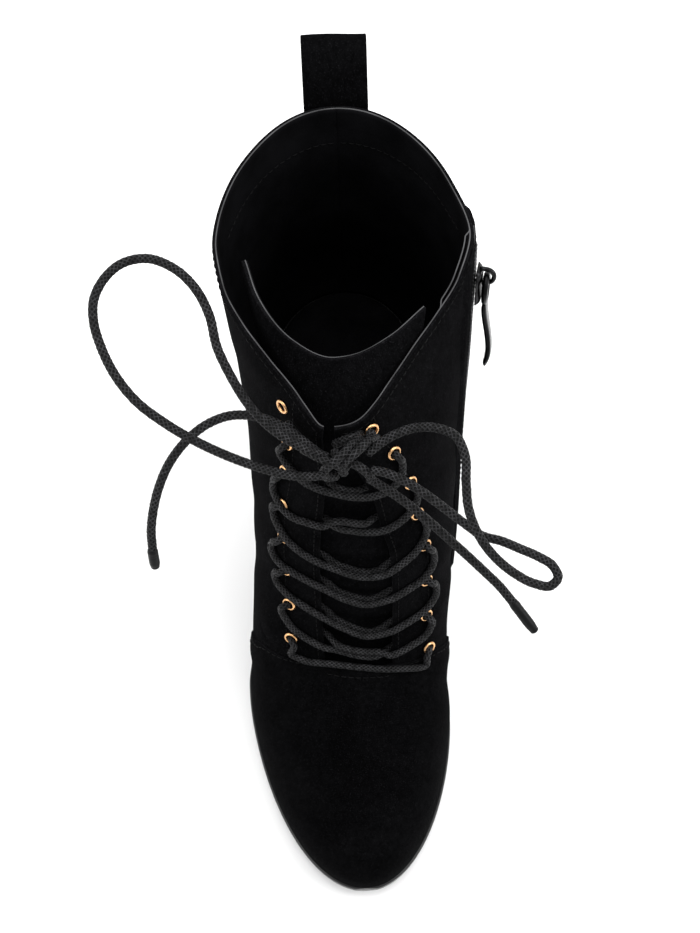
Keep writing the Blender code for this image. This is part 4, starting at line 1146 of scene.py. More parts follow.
class BOOT_OT_knot(bpy.types.Operator):
    """Ties the bow's knot from five turns of the same lace."""

    bl_idname = "boot.knot"
    bl_label = "Knot"

    def execute(self, context):
        for name, route in KNOT_TURNS.items():
            braid_piece(name, flowing(route, BRAID_STEP), ["lace_knot"])
        return {"FINISHED"}


# Sole and heel


def plan_outline(inset, stations, front=0.0, back=1e9):
    """Stations at shares of the sole's length, and its outline's two offsets there, moved inwards."""
    sides = []
    for side in (-1, 1):
        points = ring(0.0, side, 900)[:, :2]
        tangent = np.gradient(points, axis=0)
        normal = unit(np.stack([-tangent[:, 1], tangent[:, 0]], 1) * side)
        moved = points + normal * inset
        sides.append(moved[side * moved[:, 0] >= 0])
    start = max(sides[0][:, 1].min(), sides[1][:, 1].min(), front)
    end = min(sides[0][:, 1].max(), sides[1][:, 1].max(), back)
    s = start + (end - start) * stations
    left, right = (np.interp(s, side[:, 1], side[:, 0]) for side in sides)
    return s, left, right


def closed_outline(inset, count):
    """The outline moved inwards as one closed loop of stations and offsets."""
    share = (1 - np.cos(np.linspace(0, math.pi, count))) / 2
    s, left, right = plan_outline(inset, share)
    left[0] = right[0] = (left[0] + right[0]) / 2
    left[-1] = right[-1] = (left[-1] + right[-1]) / 2
    return s, left, right


def plank(inset, rows, columns, height_of):
    """A grid across the outline, its rows crowded towards toe and heel by a cosine."""
    s, left, right = closed_outline(inset, rows)
    u = np.linspace(0, 1, columns)[None, :]
    x = left[:, None] * (1 - u) + right[:, None] * u
    station = np.repeat(s[:, None], columns, 1)
    return np.stack([x, station, height_of(station)], 2)


def outline_strip(profile, rows, height_of):
    """A band round the outline carried along it: profile rows hold inset and height below the sole's top."""
    rings = []
    for inset, drop in profile:
        s, left, right = closed_outline(inset, rows)
        loop_s = np.concatenate([s, s[-2:0:-1]])
        loop_x = np.concatenate([left, right[-2:0:-1]])
        rings.append(np.stack([loop_x, loop_s, height_of(loop_s) - drop], 1))
    return np.array(rings)


def weld(mesh, reach, flat=None):
    """Merges points within a reach, clears faces flatter than a size, and turns all faces outwards."""
    work = bmesh.new()
    work.from_mesh(mesh)
    bmesh.ops.remove_doubles(work, verts=work.verts, dist=reach)
    if flat:
        bmesh.ops.dissolve_degenerate(work, edges=work.edges, dist=flat)
    bmesh.ops.recalc_face_normals(work, faces=work.faces)
    work.to_mesh(mesh)
    work.free()
    mesh.shade_smooth()


def merged_mesh(name, parts):
    """Parts as one mesh with the points that they share merged."""
    points, faces, index, uv = join_parts(parts)
    mesh = mesh_of(name, to_world(points), faces, index, uv)
    weld(mesh, 1e-5, 1e-6)
    return mesh


def shell_parts(top, base, flip=False):
    """Two grids with like borders and the rim between them; flip turns the top's and the base's faces."""
    rows, cols = top.shape[:2]
    rim = np.array([border_of(top), border_of(base)])
    return [
        (top, quads(rows, cols, flip=flip), 0, None),
        (base, quads(rows, cols, flip=not flip), 0, None),
        (rim, quads(2, rim.shape[1], close_cols=True), 0, None),
    ]


# The sole's edge: inset from the outline, drop below the sole's top.
SOLE_EDGE = (
    (0.9, 0.0), (0.1, 0.12), (-0.4, 0.5), (-0.6, 1.1), (-0.6, 2.5), (-0.45, 3.9), (0.0, 4.7), (0.9, 5.0),
)
SOLE_GRID = (220, 12)
SOCK_GRID = (160, 40)
# The sock: gap to the wall, heights of its faces above the sole's top, and how much its sides are thinner.
SOCK_INSET = 0.6
SOCK_TOP = 2.6
SOCK_BASE = 0.6
SOCK_THINNING = 0.9


class BOOT_OT_sole(bpy.types.Operator):
    """Makes the thin glossy sole with its rounded edge, and the padded sock inside the boot."""

    bl_idname = "boot.sole"
    bl_label = "Sole and Sock"

    def execute(self, context):
        rows, columns = SOLE_GRID
        edge = outline_strip(SOLE_EDGE, rows, sole_top)
        top = plank(SOLE_EDGE[0][0], rows, columns, sole_top)
        bottom = plank(SOLE_EDGE[-1][0], rows, columns, lambda s: sole_top(s) - SOLE)
        parts = [
            (edge, quads(len(SOLE_EDGE), edge.shape[1], close_cols=True), 0, None),
            (top, quads(rows, columns), 0, None),
            (bottom, quads(rows, columns, flip=True), 1, None),
        ]
        finishes = [finish_for("rubber"), finish_for("tread")]
        mesh = merged_mesh("sole_unit", parts)
        add_piece("sole_unit", mesh, finishes, nodes=["outsole"], slot="rubber_black")
        self.sock()
        return {"FINISHED"}

    def sock(self):
        """The sock: a sheet a little above the sole that thins towards its sides by a sixth power."""
        rows, columns = SOCK_GRID
        top = plank(WALL + SOCK_INSET, rows, columns, lambda s: sole_top(s) + SOCK_TOP)
        top[..., 2] -= SOCK_THINNING * np.abs(np.linspace(-1, 1, columns)[None, :]) ** 6
        base = top.copy()
        base[..., 2] = sole_top(top[..., 1]) + SOCK_BASE
        rim = np.array([np.concatenate([grid[:, 0], grid[-2:0:-1, -1]]) for grid in (top, base)])
        parts = [
            (top, quads(rows, columns), 0, None),
            (base, quads(rows, columns, flip=True), 0, None),
            (rim, quads(2, rim.shape[1], close_cols=True), 0, None),
        ]
        mesh = merged_mesh("sock_lining", parts)
        add_piece("sock_lining", mesh, [finish_for("lining")], nodes=["insole"], slot="lining_black")


def heel_outline(share, count=90):
    """A D-shaped outline between the heel's foot (share 0) and its seat under the sole (share 1)."""
    t = np.linspace(0, 1, count) ** HEEL_CROWD
    seat_s, seat_left, seat_right = plan_outline(HEEL_INSET, t, HEEL_SEAT_FRONT)
    foot_s = HEEL_FOOT_FRONT + (HEEL_FOOT_BACK - HEEL_FOOT_FRONT) * t
    bow = rounding((1 - t) / HEEL_BOW, 2.0)
    s = (1 - share) * foot_s + share * seat_s
    left = (1 - share) * (-HEEL_FOOT_HALF * bow) + share * seat_left
    right = (1 - share) * (HEEL_FOOT_HALF * bow) + share * seat_right
    waist = 1 - HEEL_WAIST * math.sin(math.pi * share)
    left, right = left * waist, right * waist
    left[-1] = right[-1] = (left[-1] + right[-1]) / 2
    return s, left, right


def heel_layer(share, z_of, inset=0.0, columns=31):
    """One layer of the heel: a grid across its outline, shrunk towards its middle by the inset."""
    s, left, right = heel_outline(share)
    middle_s, middle_x = (s[0] + s[-1]) / 2, (left.mean() + right.mean()) / 2
    reach = max((s[-1] - s[0]) / 2, 1.0)
    scale = 1 - inset / reach
    u = np.linspace(0, 1, columns)[None, :]
    x = left[:, None] * (1 - u) + right[:, None] * u
    station = np.repeat(s[:, None], columns, 1)
    x, station = middle_x + (x - middle_x) * scale, middle_s + (station - middle_s) * scale
    return np.stack([x, station, z_of(station)], 2)


def heel_skin(layers):
    """A closed solid from layers: their borders joined in turn, with the first and the last filled."""
    rows, cols = layers[0].shape[:2]
    wall = np.array([border_of(layer) for layer in layers])
    return [
        (wall, quads(len(layers), wall.shape[1], close_cols=True), 0, None),
        (layers[0], quads(rows, cols), 0, None),
        (layers[-1], quads(rows, cols), 0, None),
    ]


HEEL_LAYERS = 46
# The top piece's edge: height above the floor, inset.
TOP_PIECE_EDGE = ((0.0, 1.2), (0.15, 0.8), (0.6, 0.35), (3.0, 0.1), (5.4, 0.05), (5.8, 0.25), (6.0, 0.6))


class BOOT_OT_heel(bpy.types.Operator):
    """Makes the suede covered block heel and its rubber top piece."""

    bl_idname = "boot.heel"
    bl_label = "Heel"

    def execute(self, context):
        floor = TOP_PIECE + SEAT_GAP

        def seat(s):
            """Underside of the sole, less the gap to the heel."""
            slope = np.gradient(sole_top(np.stack([s - 0.5, s, s + 0.5])), 0.5, axis=0)[1]
            return sole_top(s) - SOLE * np.sqrt(1 + slope**2) - SEAT_GAP

        layers = [heel_layer(0.0, lambda s: np.full_like(s, floor), 0.6)]
        for share in np.linspace(0, 1, HEEL_LAYERS):
            layers.append(heel_layer(share, lambda s, k=share: (1 - k) * (floor + 0.4) + k * (seat(s) - 0.3)))
        layers.append(heel_layer(1.0, lambda s: seat(s) - 0.05, 0.5))
        mesh = merged_mesh("heel_cover", heel_skin(layers))
        add_piece("heel_cover", mesh, [finish_for("suede")], nodes=["heel_block"], slot="suede_black")
        layers = [heel_layer(0.0, lambda s, z=z: np.full_like(s, z), inset) for z, inset in TOP_PIECE_EDGE]
        mesh = merged_mesh("heel_top_rubber", heel_skin(layers))
        tread = [finish_for("tread")]
        add_piece("heel_top_rubber", mesh, tread, nodes=["heel_top_piece"], slot="rubber_black")
        return {"FINISHED"}


# Upper


def seam_arc(level, side):
    """Arc of the seam between vamp and quarter, from its points in the side view to the facing's edge."""
    levels, arcs = [], []
    for station, z in SEAM[side]:
        value = max(float(level_at(np.array(station), z)), 0.0)
        levels.append(value)
        arcs.append(FORM.arc_at(value, station, side))
    levels.append(THROAT_LEVEL)
    arcs.append(float(FORM.facing_arc(THROAT_LEVEL, side)[0]))
    return smooth(level, np.array(levels), np.array(arcs))


# Soft creases of the upper: side, station and height of both ends, half width, depth (below zero is a ridge).
CREASES = (
    (-1, 66, 40, 90, 20, 4.0, 0.5),
    (-1, 74, 47, 99, 30, 4.5, -0.45),
    (1, 62, 40, 86, 18, 4.0, 0.5),
    (1, 70, 46, 95, 28, 4.5, -0.4),
    (-1, 96, 96, 128, 62, 6.0, 0.9),
    (-1, 104, 118, 140, 88, 7.0, 0.7),
    (-1, 112, 150, 150, 122, 7.0, 0.6),
    (1, 94, 92, 126, 60, 6.0, 0.9),
    (1, 102, 116, 138, 84, 7.0, 0.7),
    (1, 110, 146, 146, 118, 7.0, 0.55),
    (-1, 150, 100, 196, 112, 9.0, 0.8),
    (1, 156, 96, 200, 108, 9.0, 0.6),
    (-1, 128, 176, 168, 150, 8.0, 0.6),
)


def relief(points, level):
    """How far the worn upper stands off its last: slow waves, less a rounded trough along each crease."""
    x, s, z = points[..., 0], points[..., 1], points[..., 2]
    waves = 0.28 * np.sin(s / 17.0 + 1.3 + x / 31.0) * np.sin(z / 15.0 + 0.4)
    waves += 0.16 * np.sin(s / 7.3 + z / 11.0) * np.sin(x / 9.0 + z / 19.0 + 0.9)
    total = waves.copy()
    for side, s0, z0, s1, z1, width, depth in CREASES:
        run = np.array([s1 - s0, z1 - z0], float)
        length = np.hypot(*run)
        t = ((s - s0) * run[0] + (z - z0) * run[1]) / length**2
        off = ((s - s0) * run[1] - (z - z0) * run[0]) / length
        off = off + 2.0 * np.sin(t * 5.0)
        along = np.exp(-(((t - 0.5) / 0.42) ** 4))
        trough = np.exp(-((off / width) ** 2)) * along
        total -= depth * trough * (np.sign(x) == side)
    return total * ease(level / 0.06)


def dressed(levels, arcs, lift=0.0):
    """The upper's face at a grid of levels and arcs, with its relief, lifted along its normals."""
    grid_levels = np.broadcast_to(levels, arcs.shape)
    points = FORM.at(grid_levels, arcs)
    normal = FORM.normal(grid_levels, arcs)
    return points + normal * (relief(points, grid_levels) + lift)[..., None], normal


def vamp_levels(count):
    """Levels whose points on the ridge lie evenly along the vamp."""
    fine = np.linspace(0, THROAT_LEVEL, 400)
    along = lengths_along(FORM.at(fine, np.zeros_like(fine)))
    return np.interp(np.linspace(0, along[-1], count), along, fine)


# Rows and columns of the panels' grids.
VAMP_GRID = (100, 220)
QUARTER_GRID = (140, 190)
STRAP_GRID = (150, 40)
# The vamp laps over the quarters: its lift, and the flat and the falling width of the lap.
VAMP_LAP = 0.75
LAP_FLAT = 2.0
LAP_FALL = 11.0
# How far a quarter runs under the vamp, and how deep it sinks there.
TUCK = 6.0
TUCK_DEPTH = 0.35
STRAP = 0.9
STRAP_TOP = 0.985


def strap_half(levels):
    """Half width of the back strap, which widens towards the sole."""
    return 7.5 + 5.0 * (1 - ease(levels / 0.35))


def across_panel(left, right, columns):
    """Arcs of a panel's grid, spread evenly from its left to its right side."""
    share = np.linspace(0, 1, columns)[None, :]
    return left * (1 - share) + right * share


def half_panel(front, back, side, columns):
    """Arcs of a panel on one side, from front and back distances, left to right as seen from outside."""
    arcs = side * across_panel(front, back, columns)
    return arcs[:, ::-1] if side < 0 else arcs


class BOOT_OT_upper(bpy.types.Operator):
    """Cuts the vamp, the two quarters and the back strap, each a panel with its own cut edge."""

    bl_idname = "boot.upper"
    bl_label = "Upper"

    def execute(self, context):
        self.vamp(size("suede"))
        for side, name in ((-1, "quarter_lateral"), (1, "quarter_medial")):
            self.quarter(name, side, size("suede"))
        self.back_strap()
        return {"FINISHED"}

    def vamp(self, thick):
        """The vamp, whose lap rises over the quarters by a smooth step of the distance to its edge."""
        levels = vamp_levels(VAMP_GRID[0])[:, None]
        left, right = -seam_arc(levels, -1), seam_arc(levels, 1)
        arcs = across_panel(left, right, VAMP_GRID[1])
        reach = np.minimum(arcs - left, right - arcs)
        lap = VAMP_LAP * (1 - ease((reach - LAP_FLAT) / LAP_FALL))
        top = VAMP_LAP * (1 - ease((THROAT_LEVEL - levels) / 0.05))
        face, _ = dressed(levels, arcs, np.maximum(lap, top * np.ones_like(arcs)) * ease(levels / 0.05))
        # Its face takes the darker copy of the suede, which is painted shade.
        slab_piece("vamp", face, thick, suede_set("suede_vamp"), nodes=["upper"], slot="suede_black")

    def quarter(self, name, side, thick):
        """A quarter from its facing or the vamp's seam to the back, tucked under the vamp."""
        levels = np.linspace(0, 1, QUARTER_GRID[0])[:, None]
        facing = FORM.facing_arc(levels[:, 0], side)[:, None]
        tuck = TUCK * ease((THROAT_LEVEL - levels) / 0.03)
        front = np.where(levels >= THROAT_LEVEL, facing, seam_arc(levels, side)) - tuck
        arcs = half_panel(front, FORM.end(levels, side), side, QUARTER_GRID[1])
        under = -TUCK_DEPTH * ease((tuck - (np.abs(arcs) - front)) / TUCK)
        face, _ = dressed(levels, arcs, under)
        slab_piece(name, face, thick, suede_set(), nodes=["upper"], slot="suede_black")

    def back_strap(self):
        """The strap over the back seam, laid on the upper's outer face."""
        levels = np.linspace(0.0, STRAP_TOP, STRAP_GRID[0])[:, None]
        points = FORM.behind(levels, strap_half(levels) * np.linspace(-1, 1, STRAP_GRID[1])[None, :])
        face = points - grid_normals(points) * (STRAP + relief(points, levels))[..., None]
        slab_piece("back_strap", face[:, ::-1], STRAP, suede_set(), nodes=["upper"], slot="suede_black")


LINING_GRID = (80, 110)
VAMP_LINING_GRID = (70, 60)
LINING_LEVELS = (0.004, 0.9985)
# Gap between suede and lining, how far the lining ends behind a facing's edge, its lap under the throat,
# and how far the pale line stands above the collar's edge.
LINING_GAP = 0.05
FACING_TURN = 0.4
LINING_LAP = 6.0
EDGE_RAISE = 0.10
# Stations between which the zip's inner facing shows a second pale edge along the collar.
ZIP_FACING = (149.0, 177.0)


class BOOT_OT_lining(bpy.types.Operator):
    """Lines the boot inside and draws the pale line of backing round the collar's cut edge."""

    bl_idname = "boot.lining"
    bl_label = "Lining and Edge Line"

    def execute(self, context):
        self.lining_panels(size("suede") + LINING_GAP, size("lining"))
        self.edge_lines(size("suede") + LINING_GAP)
        return {"FINISHED"}

    def lining_panels(self, inset, thick):
        """The lining's two sides, each up to its facing, and the vamp's part between them."""
        cloth = [finish_for("lining")] * 3
        throat = {side: FORM.facing_arc(THROAT_LEVEL, side)[0] for side in (-1, 1)}
        low, high = LINING_LEVELS
        levels = np.linspace(low, high, LINING_GRID[0])[:, None]
        for side, name in ((-1, "lining_lateral"), (1, "lining_medial")):
            facing = FORM.facing_arc(levels[:, 0], side)[:, None] + FACING_TURN
            front = np.where(levels >= THROAT_LEVEL, facing, throat[side] * (levels / THROAT_LEVEL))
            arcs = half_panel(front, FORM.end(levels, side), side, LINING_GRID[1])
            face, _ = dressed(levels, arcs, -inset)
            slab_piece(name, face, thick, cloth, bulge=0.1, nodes=["upper"], slot="lining_black")
        levels = vamp_levels(VAMP_LINING_GRID[0])[:, None]
        left, right = (side * throat[side] * levels / THROAT_LEVEL + side * LINING_LAP for side in (-1, 1))
        face, _ = dressed(levels, across_panel(left, right, VAMP_LINING_GRID[1]), -inset)
        slab_piece("lining_vamp", face, thick, cloth, nodes=["upper"], slot="lining_black")

    def edge_lines(self, inset):
        """The pale line round the collar, and a second one over the zip's facing that bends inwards."""
        for side, name in ((-1, "edge_line_lateral"), (1, "edge_line_medial")):
            arcs = side * np.linspace(FORM.facing_arc(1.0, side)[0], FORM.end(1.0, side), 420)
            line, _ = dressed(np.ones_like(arcs), arcs, -inset)
            line[:, 2] += EDGE_RAISE
            edge_piece(name, line)
        first, last = (FORM.arc_at(1.0, s, 1) for s in ZIP_FACING)
        t = np.linspace(0, 1, 160)
        arcs = first + (last - first) * t
        inward = 1.6 * ease(t / 0.12) * ease((1 - t) / 0.08)
        line, _ = dressed(np.ones_like(arcs), arcs, -inset - inward)
        line[:, 2] += EDGE_RAISE - 0.25 * inward
        edge_piece("edge_line_zip_facing", line)


# Tongue

# The tongue's top edge, from its lateral to its medial end: offset, station, height.
TONGUE_TOP = (
    (-33.5, 168.7, 200.5), (-29.3, 154.4, 199.8), (-18.1, 138.5, 198.6), (-5.3, 131.5, 197.6),
    (1.3, 132.0, 197.6), (15.0, 138.5, 198.2), (27.0, 148.6, 199.2),
)


TONGUE_GRID = (180, 90)
TONGUE = 2.0
# The tongue's depth behind the upper, how its top edge dips at the sides, and its smoothing passes.
TONGUE_DEPTH = 2.8
TONGUE_DIP = 0.05
TONGUE_EASING = 110
# Share of the tongue's height above which it turns towards its top edge.
TONGUE_TURN = 0.74
# Heights between which the laces press folds into the tongue, with the runs on which the folds fade.
FOLDS = ((60.0, 8.0), (172.0, 10.0))


def tongue_base(levels, f):
    """The tongue behind the upper: its face moved inwards, then each row drawn towards a straight one."""
    lean, lateral, medial = (look_up(TONGUE_ROWS, levels, i) for i in (1, 2, 3))
    arcs = np.where(f < 0, f * lateral, f * medial)
    face = FORM.at(levels * (1 - TONGUE_DIP * f**2 * levels), arcs)
    inward = TONGUE_DEPTH + lean * (1 - 0.6 * f**2)
    face = face - grid_normals(face) * inward[..., None]
    for _ in range(TONGUE_EASING):
        face[:, 1:-1] += 0.5 * ((face[:, 2:] + face[:, :-2]) / 2 - face[:, 1:-1])
    return face


def to_top_edge(face, f):
    """The tongue bent so that its last row lies on its top edge, by a smooth step up its rows."""
    top = flowing(TONGUE_TOP, 0.2)
    along = lengths_along(top)
    middle = along[np.argmin(np.abs(top[:, 0] - look_up(RIDGE, top[:, 2])))]
    places = np.where(f[0] < 0, middle * (1 + f[0]), middle + (along[-1] - middle) * f[0])
    edge = sampled(places, along, top)
    blend = ease((np.linspace(0, 1, len(face)) - TONGUE_TURN) / (1 - TONGUE_TURN))
    return face + blend[:, None, None] * (edge - face[-1])


def tongue_folds(z, f):
    """Folds between each two pairs of eyelets: a trough, a ridge above it and a fine crease, each a bell in
    height whose middle line is bent by a parabola and a sine across the tongue."""
    folds = np.zeros_like(z)
    for number in range(1, len(EYELETS)):
        middle = (EYELETS[number][0] + EYELETS[number - 1][0]) / 2 - 1.0
        bend = 2.2 * f**2 + 1.5 * np.sin(number * 1.7 + f * 1.5)
        folds -= 0.75 * np.exp(-(((z - middle - bend) / 2.4) ** 2))
        folds += 0.45 * np.exp(-(((z - middle - 6.0 - bend) / 2.6) ** 2))
        fine = z - middle + 4.0 + 1.4 * np.sin(number * 2.9 + f * 3.0)
        folds -= 0.30 * np.exp(-((fine / 1.0) ** 2)) * np.exp(-(((f - 0.15 * np.sin(number)) / 0.45) ** 2))
    (low, rise), (high, fall) = FOLDS
    return folds * ease((z - low) / rise) * (1 - ease((z - high) / fall))


class BOOT_OT_tongue(bpy.types.Operator):
    """Makes the tongue behind the laces, with the soft cross folds that lacing presses into it."""

    bl_idname = "boot.tongue"
    bl_label = "Tongue"

    def execute(self, context):
        rows, columns = TONGUE_GRID
        levels = np.linspace(TONGUE_ROWS[0][0], TONGUE_ROWS[-1][0], rows)[:, None]
        f = np.linspace(-1, 1, columns)[None, :]
        face = to_top_edge(tongue_base(levels, f), f)
        face = face + grid_normals(face) * tongue_folds(face[..., 2], f)[..., None]
        slab_piece("tongue_panel", face, TONGUE, suede_set(), bulge=0.3, nodes=["tongue"], slot="suede_black")
        line = face[-1] - grid_normals(face)[-1] * 1.3
        line[:, 2] += 0.25
        edge_piece("tongue_edge_line", line, "suede_black")
        return {"FINISHED"}


# Eyelets


EYELET_SIDES = 28
# The rolled crown is half an ellipse of radius and height; below it the barrel's bore, clinch and outside.
CROWN_RADIUS = 2.17
CROWN_HALF = 0.53
CROWN_BASE = 0.3
CROWN_HEIGHT = 0.72
BARREL = ((1.62, -0.2), (1.62, -1.9), (2.0, -2.05), (2.12, -1.6), (2.12, 0.3))


def turned(profile, around, point, normal):
    """A turned ring: the profile of radius and height, carried round the normal at a point."""
    axes = np.array(Vector(normal).normalized().to_track_quat("Z", "Y").to_matrix())
    angle = circle(around)
    radius, rise = (column(profile, i)[:, None] for i in range(2))
    local = np.stack([radius * np.cos(angle), radius * np.sin(angle), rise + 0 * angle], 2)
    return local @ axes.T + point


class BOOT_OT_eyelets(bpy.types.Operator):
    """Sets the sixteen rolled metal eyelets."""

    bl_idname = "boot.eyelets"
    bl_label = "Eyelets"

    def execute(self, context):
        crown = [
            (CROWN_RADIUS + CROWN_HALF * math.cos(a), CROWN_BASE + CROWN_HEIGHT * math.sin(a))
            for a in np.linspace(0, math.pi, 13)
        ]
        profile = (*crown, *BARREL)
        faces = quads(len(profile), EYELET_SIDES, close_rows=True, close_cols=True)
        for number, (lateral_z, lateral_x, medial_z, medial_x) in enumerate(EYELETS, 1):
            for side, x, z in (("lateral", lateral_x, lateral_z), ("medial", medial_x, medial_z)):
                point, normal = on_front(np.array([x]), np.array([z], float))
                rings = turned(profile, EYELET_SIDES, point[0], normal[0])[::-1]
                name = f"eyelet_ring_{side}_{number}"
                mesh = mesh_of(name, to_world(rings.reshape(-1, 3)), faces)
                node_name = f"eyelet_{side}_{number}"
                add_piece(name, mesh, [finish_for("eyelet")], nodes=[node_name], slot="eyelet_gold")
        return {"FINISHED"}


# Zip


def on_medial(s, z, lift):
    """Points above the big toe's side at stations and heights, with normals from finite differences."""
    s, z = np.broadcast_arrays(np.asarray(s, float), np.asarray(z, float))

    def x_at(station, high):
        return outer_offset(station, level_at(station, high), 1)

    slope_s = (x_at(s + 1, z) - x_at(s - 1, z)) / 2
    slope_z = (x_at(s, z + 1) - x_at(s, z - 1)) / 2
    normal = unit(np.stack([np.ones_like(s), -slope_s, -slope_z], -1))
    points = np.stack([x_at(s, z), s, z], -1)
    return points + normal * np.asarray(lift, float)[..., None], normal


ZIP_RUN = np.array([ZIP_FOOT[0] - ZIP_TOP[0], ZIP_FOOT[1] - ZIP_TOP[1]])
ZIP_LENGTH = float(np.hypot(*ZIP_RUN))
ZIP_ALONG = ZIP_RUN / ZIP_LENGTH
ZIP_ACROSS = np.array([-ZIP_ALONG[1], ZIP_ALONG[0]])


def zip_points(distance, across, lift):
    """Points by distance down the zip, distance across it (towards the heel) and lift off the upper."""
    distance, across = np.broadcast_arrays(np.asarray(distance, float), np.asarray(across, float))
    s = ZIP_TOP[0] + ZIP_ALONG[0] * distance + ZIP_ACROSS[0] * across
    z = ZIP_TOP[1] + ZIP_ALONG[1] * distance + ZIP_ACROSS[1] * across
    return on_medial(s, z, lift)


def zip_axes(distance, lift):
    """Matrix whose X runs across the zip, Y up along it and Z out of the boot."""
    point, normal = zip_points(np.array([distance]), np.array([0.0]), np.array([lift]))
    out = Vector(normal[0])
    up = Vector((0.0, -ZIP_ALONG[0], -ZIP_ALONG[1]))
    up = (up - out * up.dot(out)).normalized()
    turn = Matrix((up.cross(out), up, out)).transposed().to_4x4()
    return Matrix.Translation(to_world(point[0])) @ turn


# One tooth's sections: place across the zip, height and length.
TOOTH = ((-0.4, 0.9, 0.55), (0.2, 1.0, 0.60), (1.0, 0.95, 0.50), (1.9, 0.75, 0.42), (2.3, 0.35, 0.40))
TOOTH_SIDES = 8
# Half the stretch over which the teeth of one row reach the middle, and the chain's bare ends.
TOOTH_REACH = 2.1
ZIP_BARE = 2.0


def tooth_rings():
    """One tooth as a loft of rounded eight sided sections across the zip."""
    angle = circle(TOOTH_SIDES) + math.pi / TOOTH_SIDES
    rings = []
    for place, tall, wide in TOOTH:
        x = np.full(TOOTH_SIDES, place)
        rings.append(np.stack([x, 0.5 * wide * np.cos(angle) * 1.08, 0.5 * tall * np.sin(angle) * 1.08], 1))
    return np.array(rings)


def row_of_teeth(side, pitch):
    """One row of teeth down the zip, each tooth turned to the boot's face and joined as one set of quads."""
    tooth = tooth_rings()
    rows, cols = tooth.shape[:2]
    count = int((ZIP_LENGTH - 2 * ZIP_BARE) / pitch)
    places = ZIP_BARE + pitch * (np.arange(count) + (0.5 if side > 0 else 0.0))
    centre, normal = zip_points(places, 0.0, 1.0)
    below, _ = zip_points(places + 1.0, 0.0, 1.0)
    along = unit(below - centre)
    sideways = unit(np.cross(along, normal)) * side
    placed = centre[:, None, None] + (TOOTH_REACH - tooth[None][..., 0:1]) * sideways[:, None, None]
    placed = placed + tooth[None][..., 1:2] * along[:, None, None]
    placed = placed + tooth[None][..., 2:3] * normal[:, None, None]
    cap = np.array([[0, 1, 2, 3], [0, 3, 4, 7], [4, 5, 6, 7]])
    ends = np.vstack([cap, cap[:, ::-1] + (rows - 1) * cols])
    if side > 0:
        ends = ends[:, ::-1]
    single = np.vstack([quads(rows, cols, close_cols=True, flip=side < 0), ends])
    steps = (np.arange(count) * rows * cols)[:, None, None]
    return placed, (single[None] + steps).reshape(-1, 4), 0, None


def below_collar(across, drop):
    """Distance down the zip at which a line beside it lies a drop below the collar's edge."""
    down = np.zeros_like(across)
    for _ in range(8):
        s = ZIP_TOP[0] + ZIP_ALONG[0] * down + ZIP_ACROSS[0] * across
        z = ZIP_TOP[1] + ZIP_ALONG[1] * down + ZIP_ACROSS[1] * across
        down = down + (look_up(COLLAR_VIEW, s) - drop - z) / ZIP_ALONG[1]
    return down


# The tape: rows and columns, half width, thickness, lift and the distance at which it starts.
TAPE_GRID = (120, 9)
TAPE_HALF = 4.2
TAPE = 0.5
TAPE_LIFT = 0.55
TAPE_START = 0.5
# The guards: rows and columns, nearest and farthest place across the zip, thickness, drop below the collar,
# how far they run past the zip's foot, lift of the crown and of the far side, dip of the near side, share of
# the width at which the crown starts to fall, length of the pale edge beside the teeth, and its fade.
GUARD_GRID = (260, 26)
GUARD_NEAR = 3.4
GUARD_FAR = 11.0
GUARD = 1.0
GUARD_DROP = 0.15
GUARD_PAST = 4.0
GUARD_CROWN = 1.25
GUARD_FOOT = 0.05
GUARD_DIP = 0.25
GUARD_FALL = 0.62
GUARD_EDGE = 34.0
GUARD_FADE = 10.0
# The slider: half length, half width, distance of its middle below the hinge, lift of its edge and of its
# dome, radius of its arch's wire, and the arch's height, half length and lowest point.
SLIDER_HALF = 7.5
SLIDER_WIDTH_HALF = 4.2
SLIDER_DROP = 4.0
SLIDER_RIM = 0.5
SLIDER_DOME = 1.6
ARCH_WIRE = 0.85
ARCH_RISE = 5.9
ARCH_REACH = 2.9
ARCH_ROOT = 1.2
# The pull: half width and half length of its eye, radius of the eye's wire, and of its tab the distance from
# the hinge, the length and half the thickness.
EYE_WIDTH = 4.3
EYE_LENGTH = 5.2
EYE_WIRE = 1.1
TAB_START = 10.2
TAB_LENGTH = 27.4
TAB_HALF_THICK = 1.0


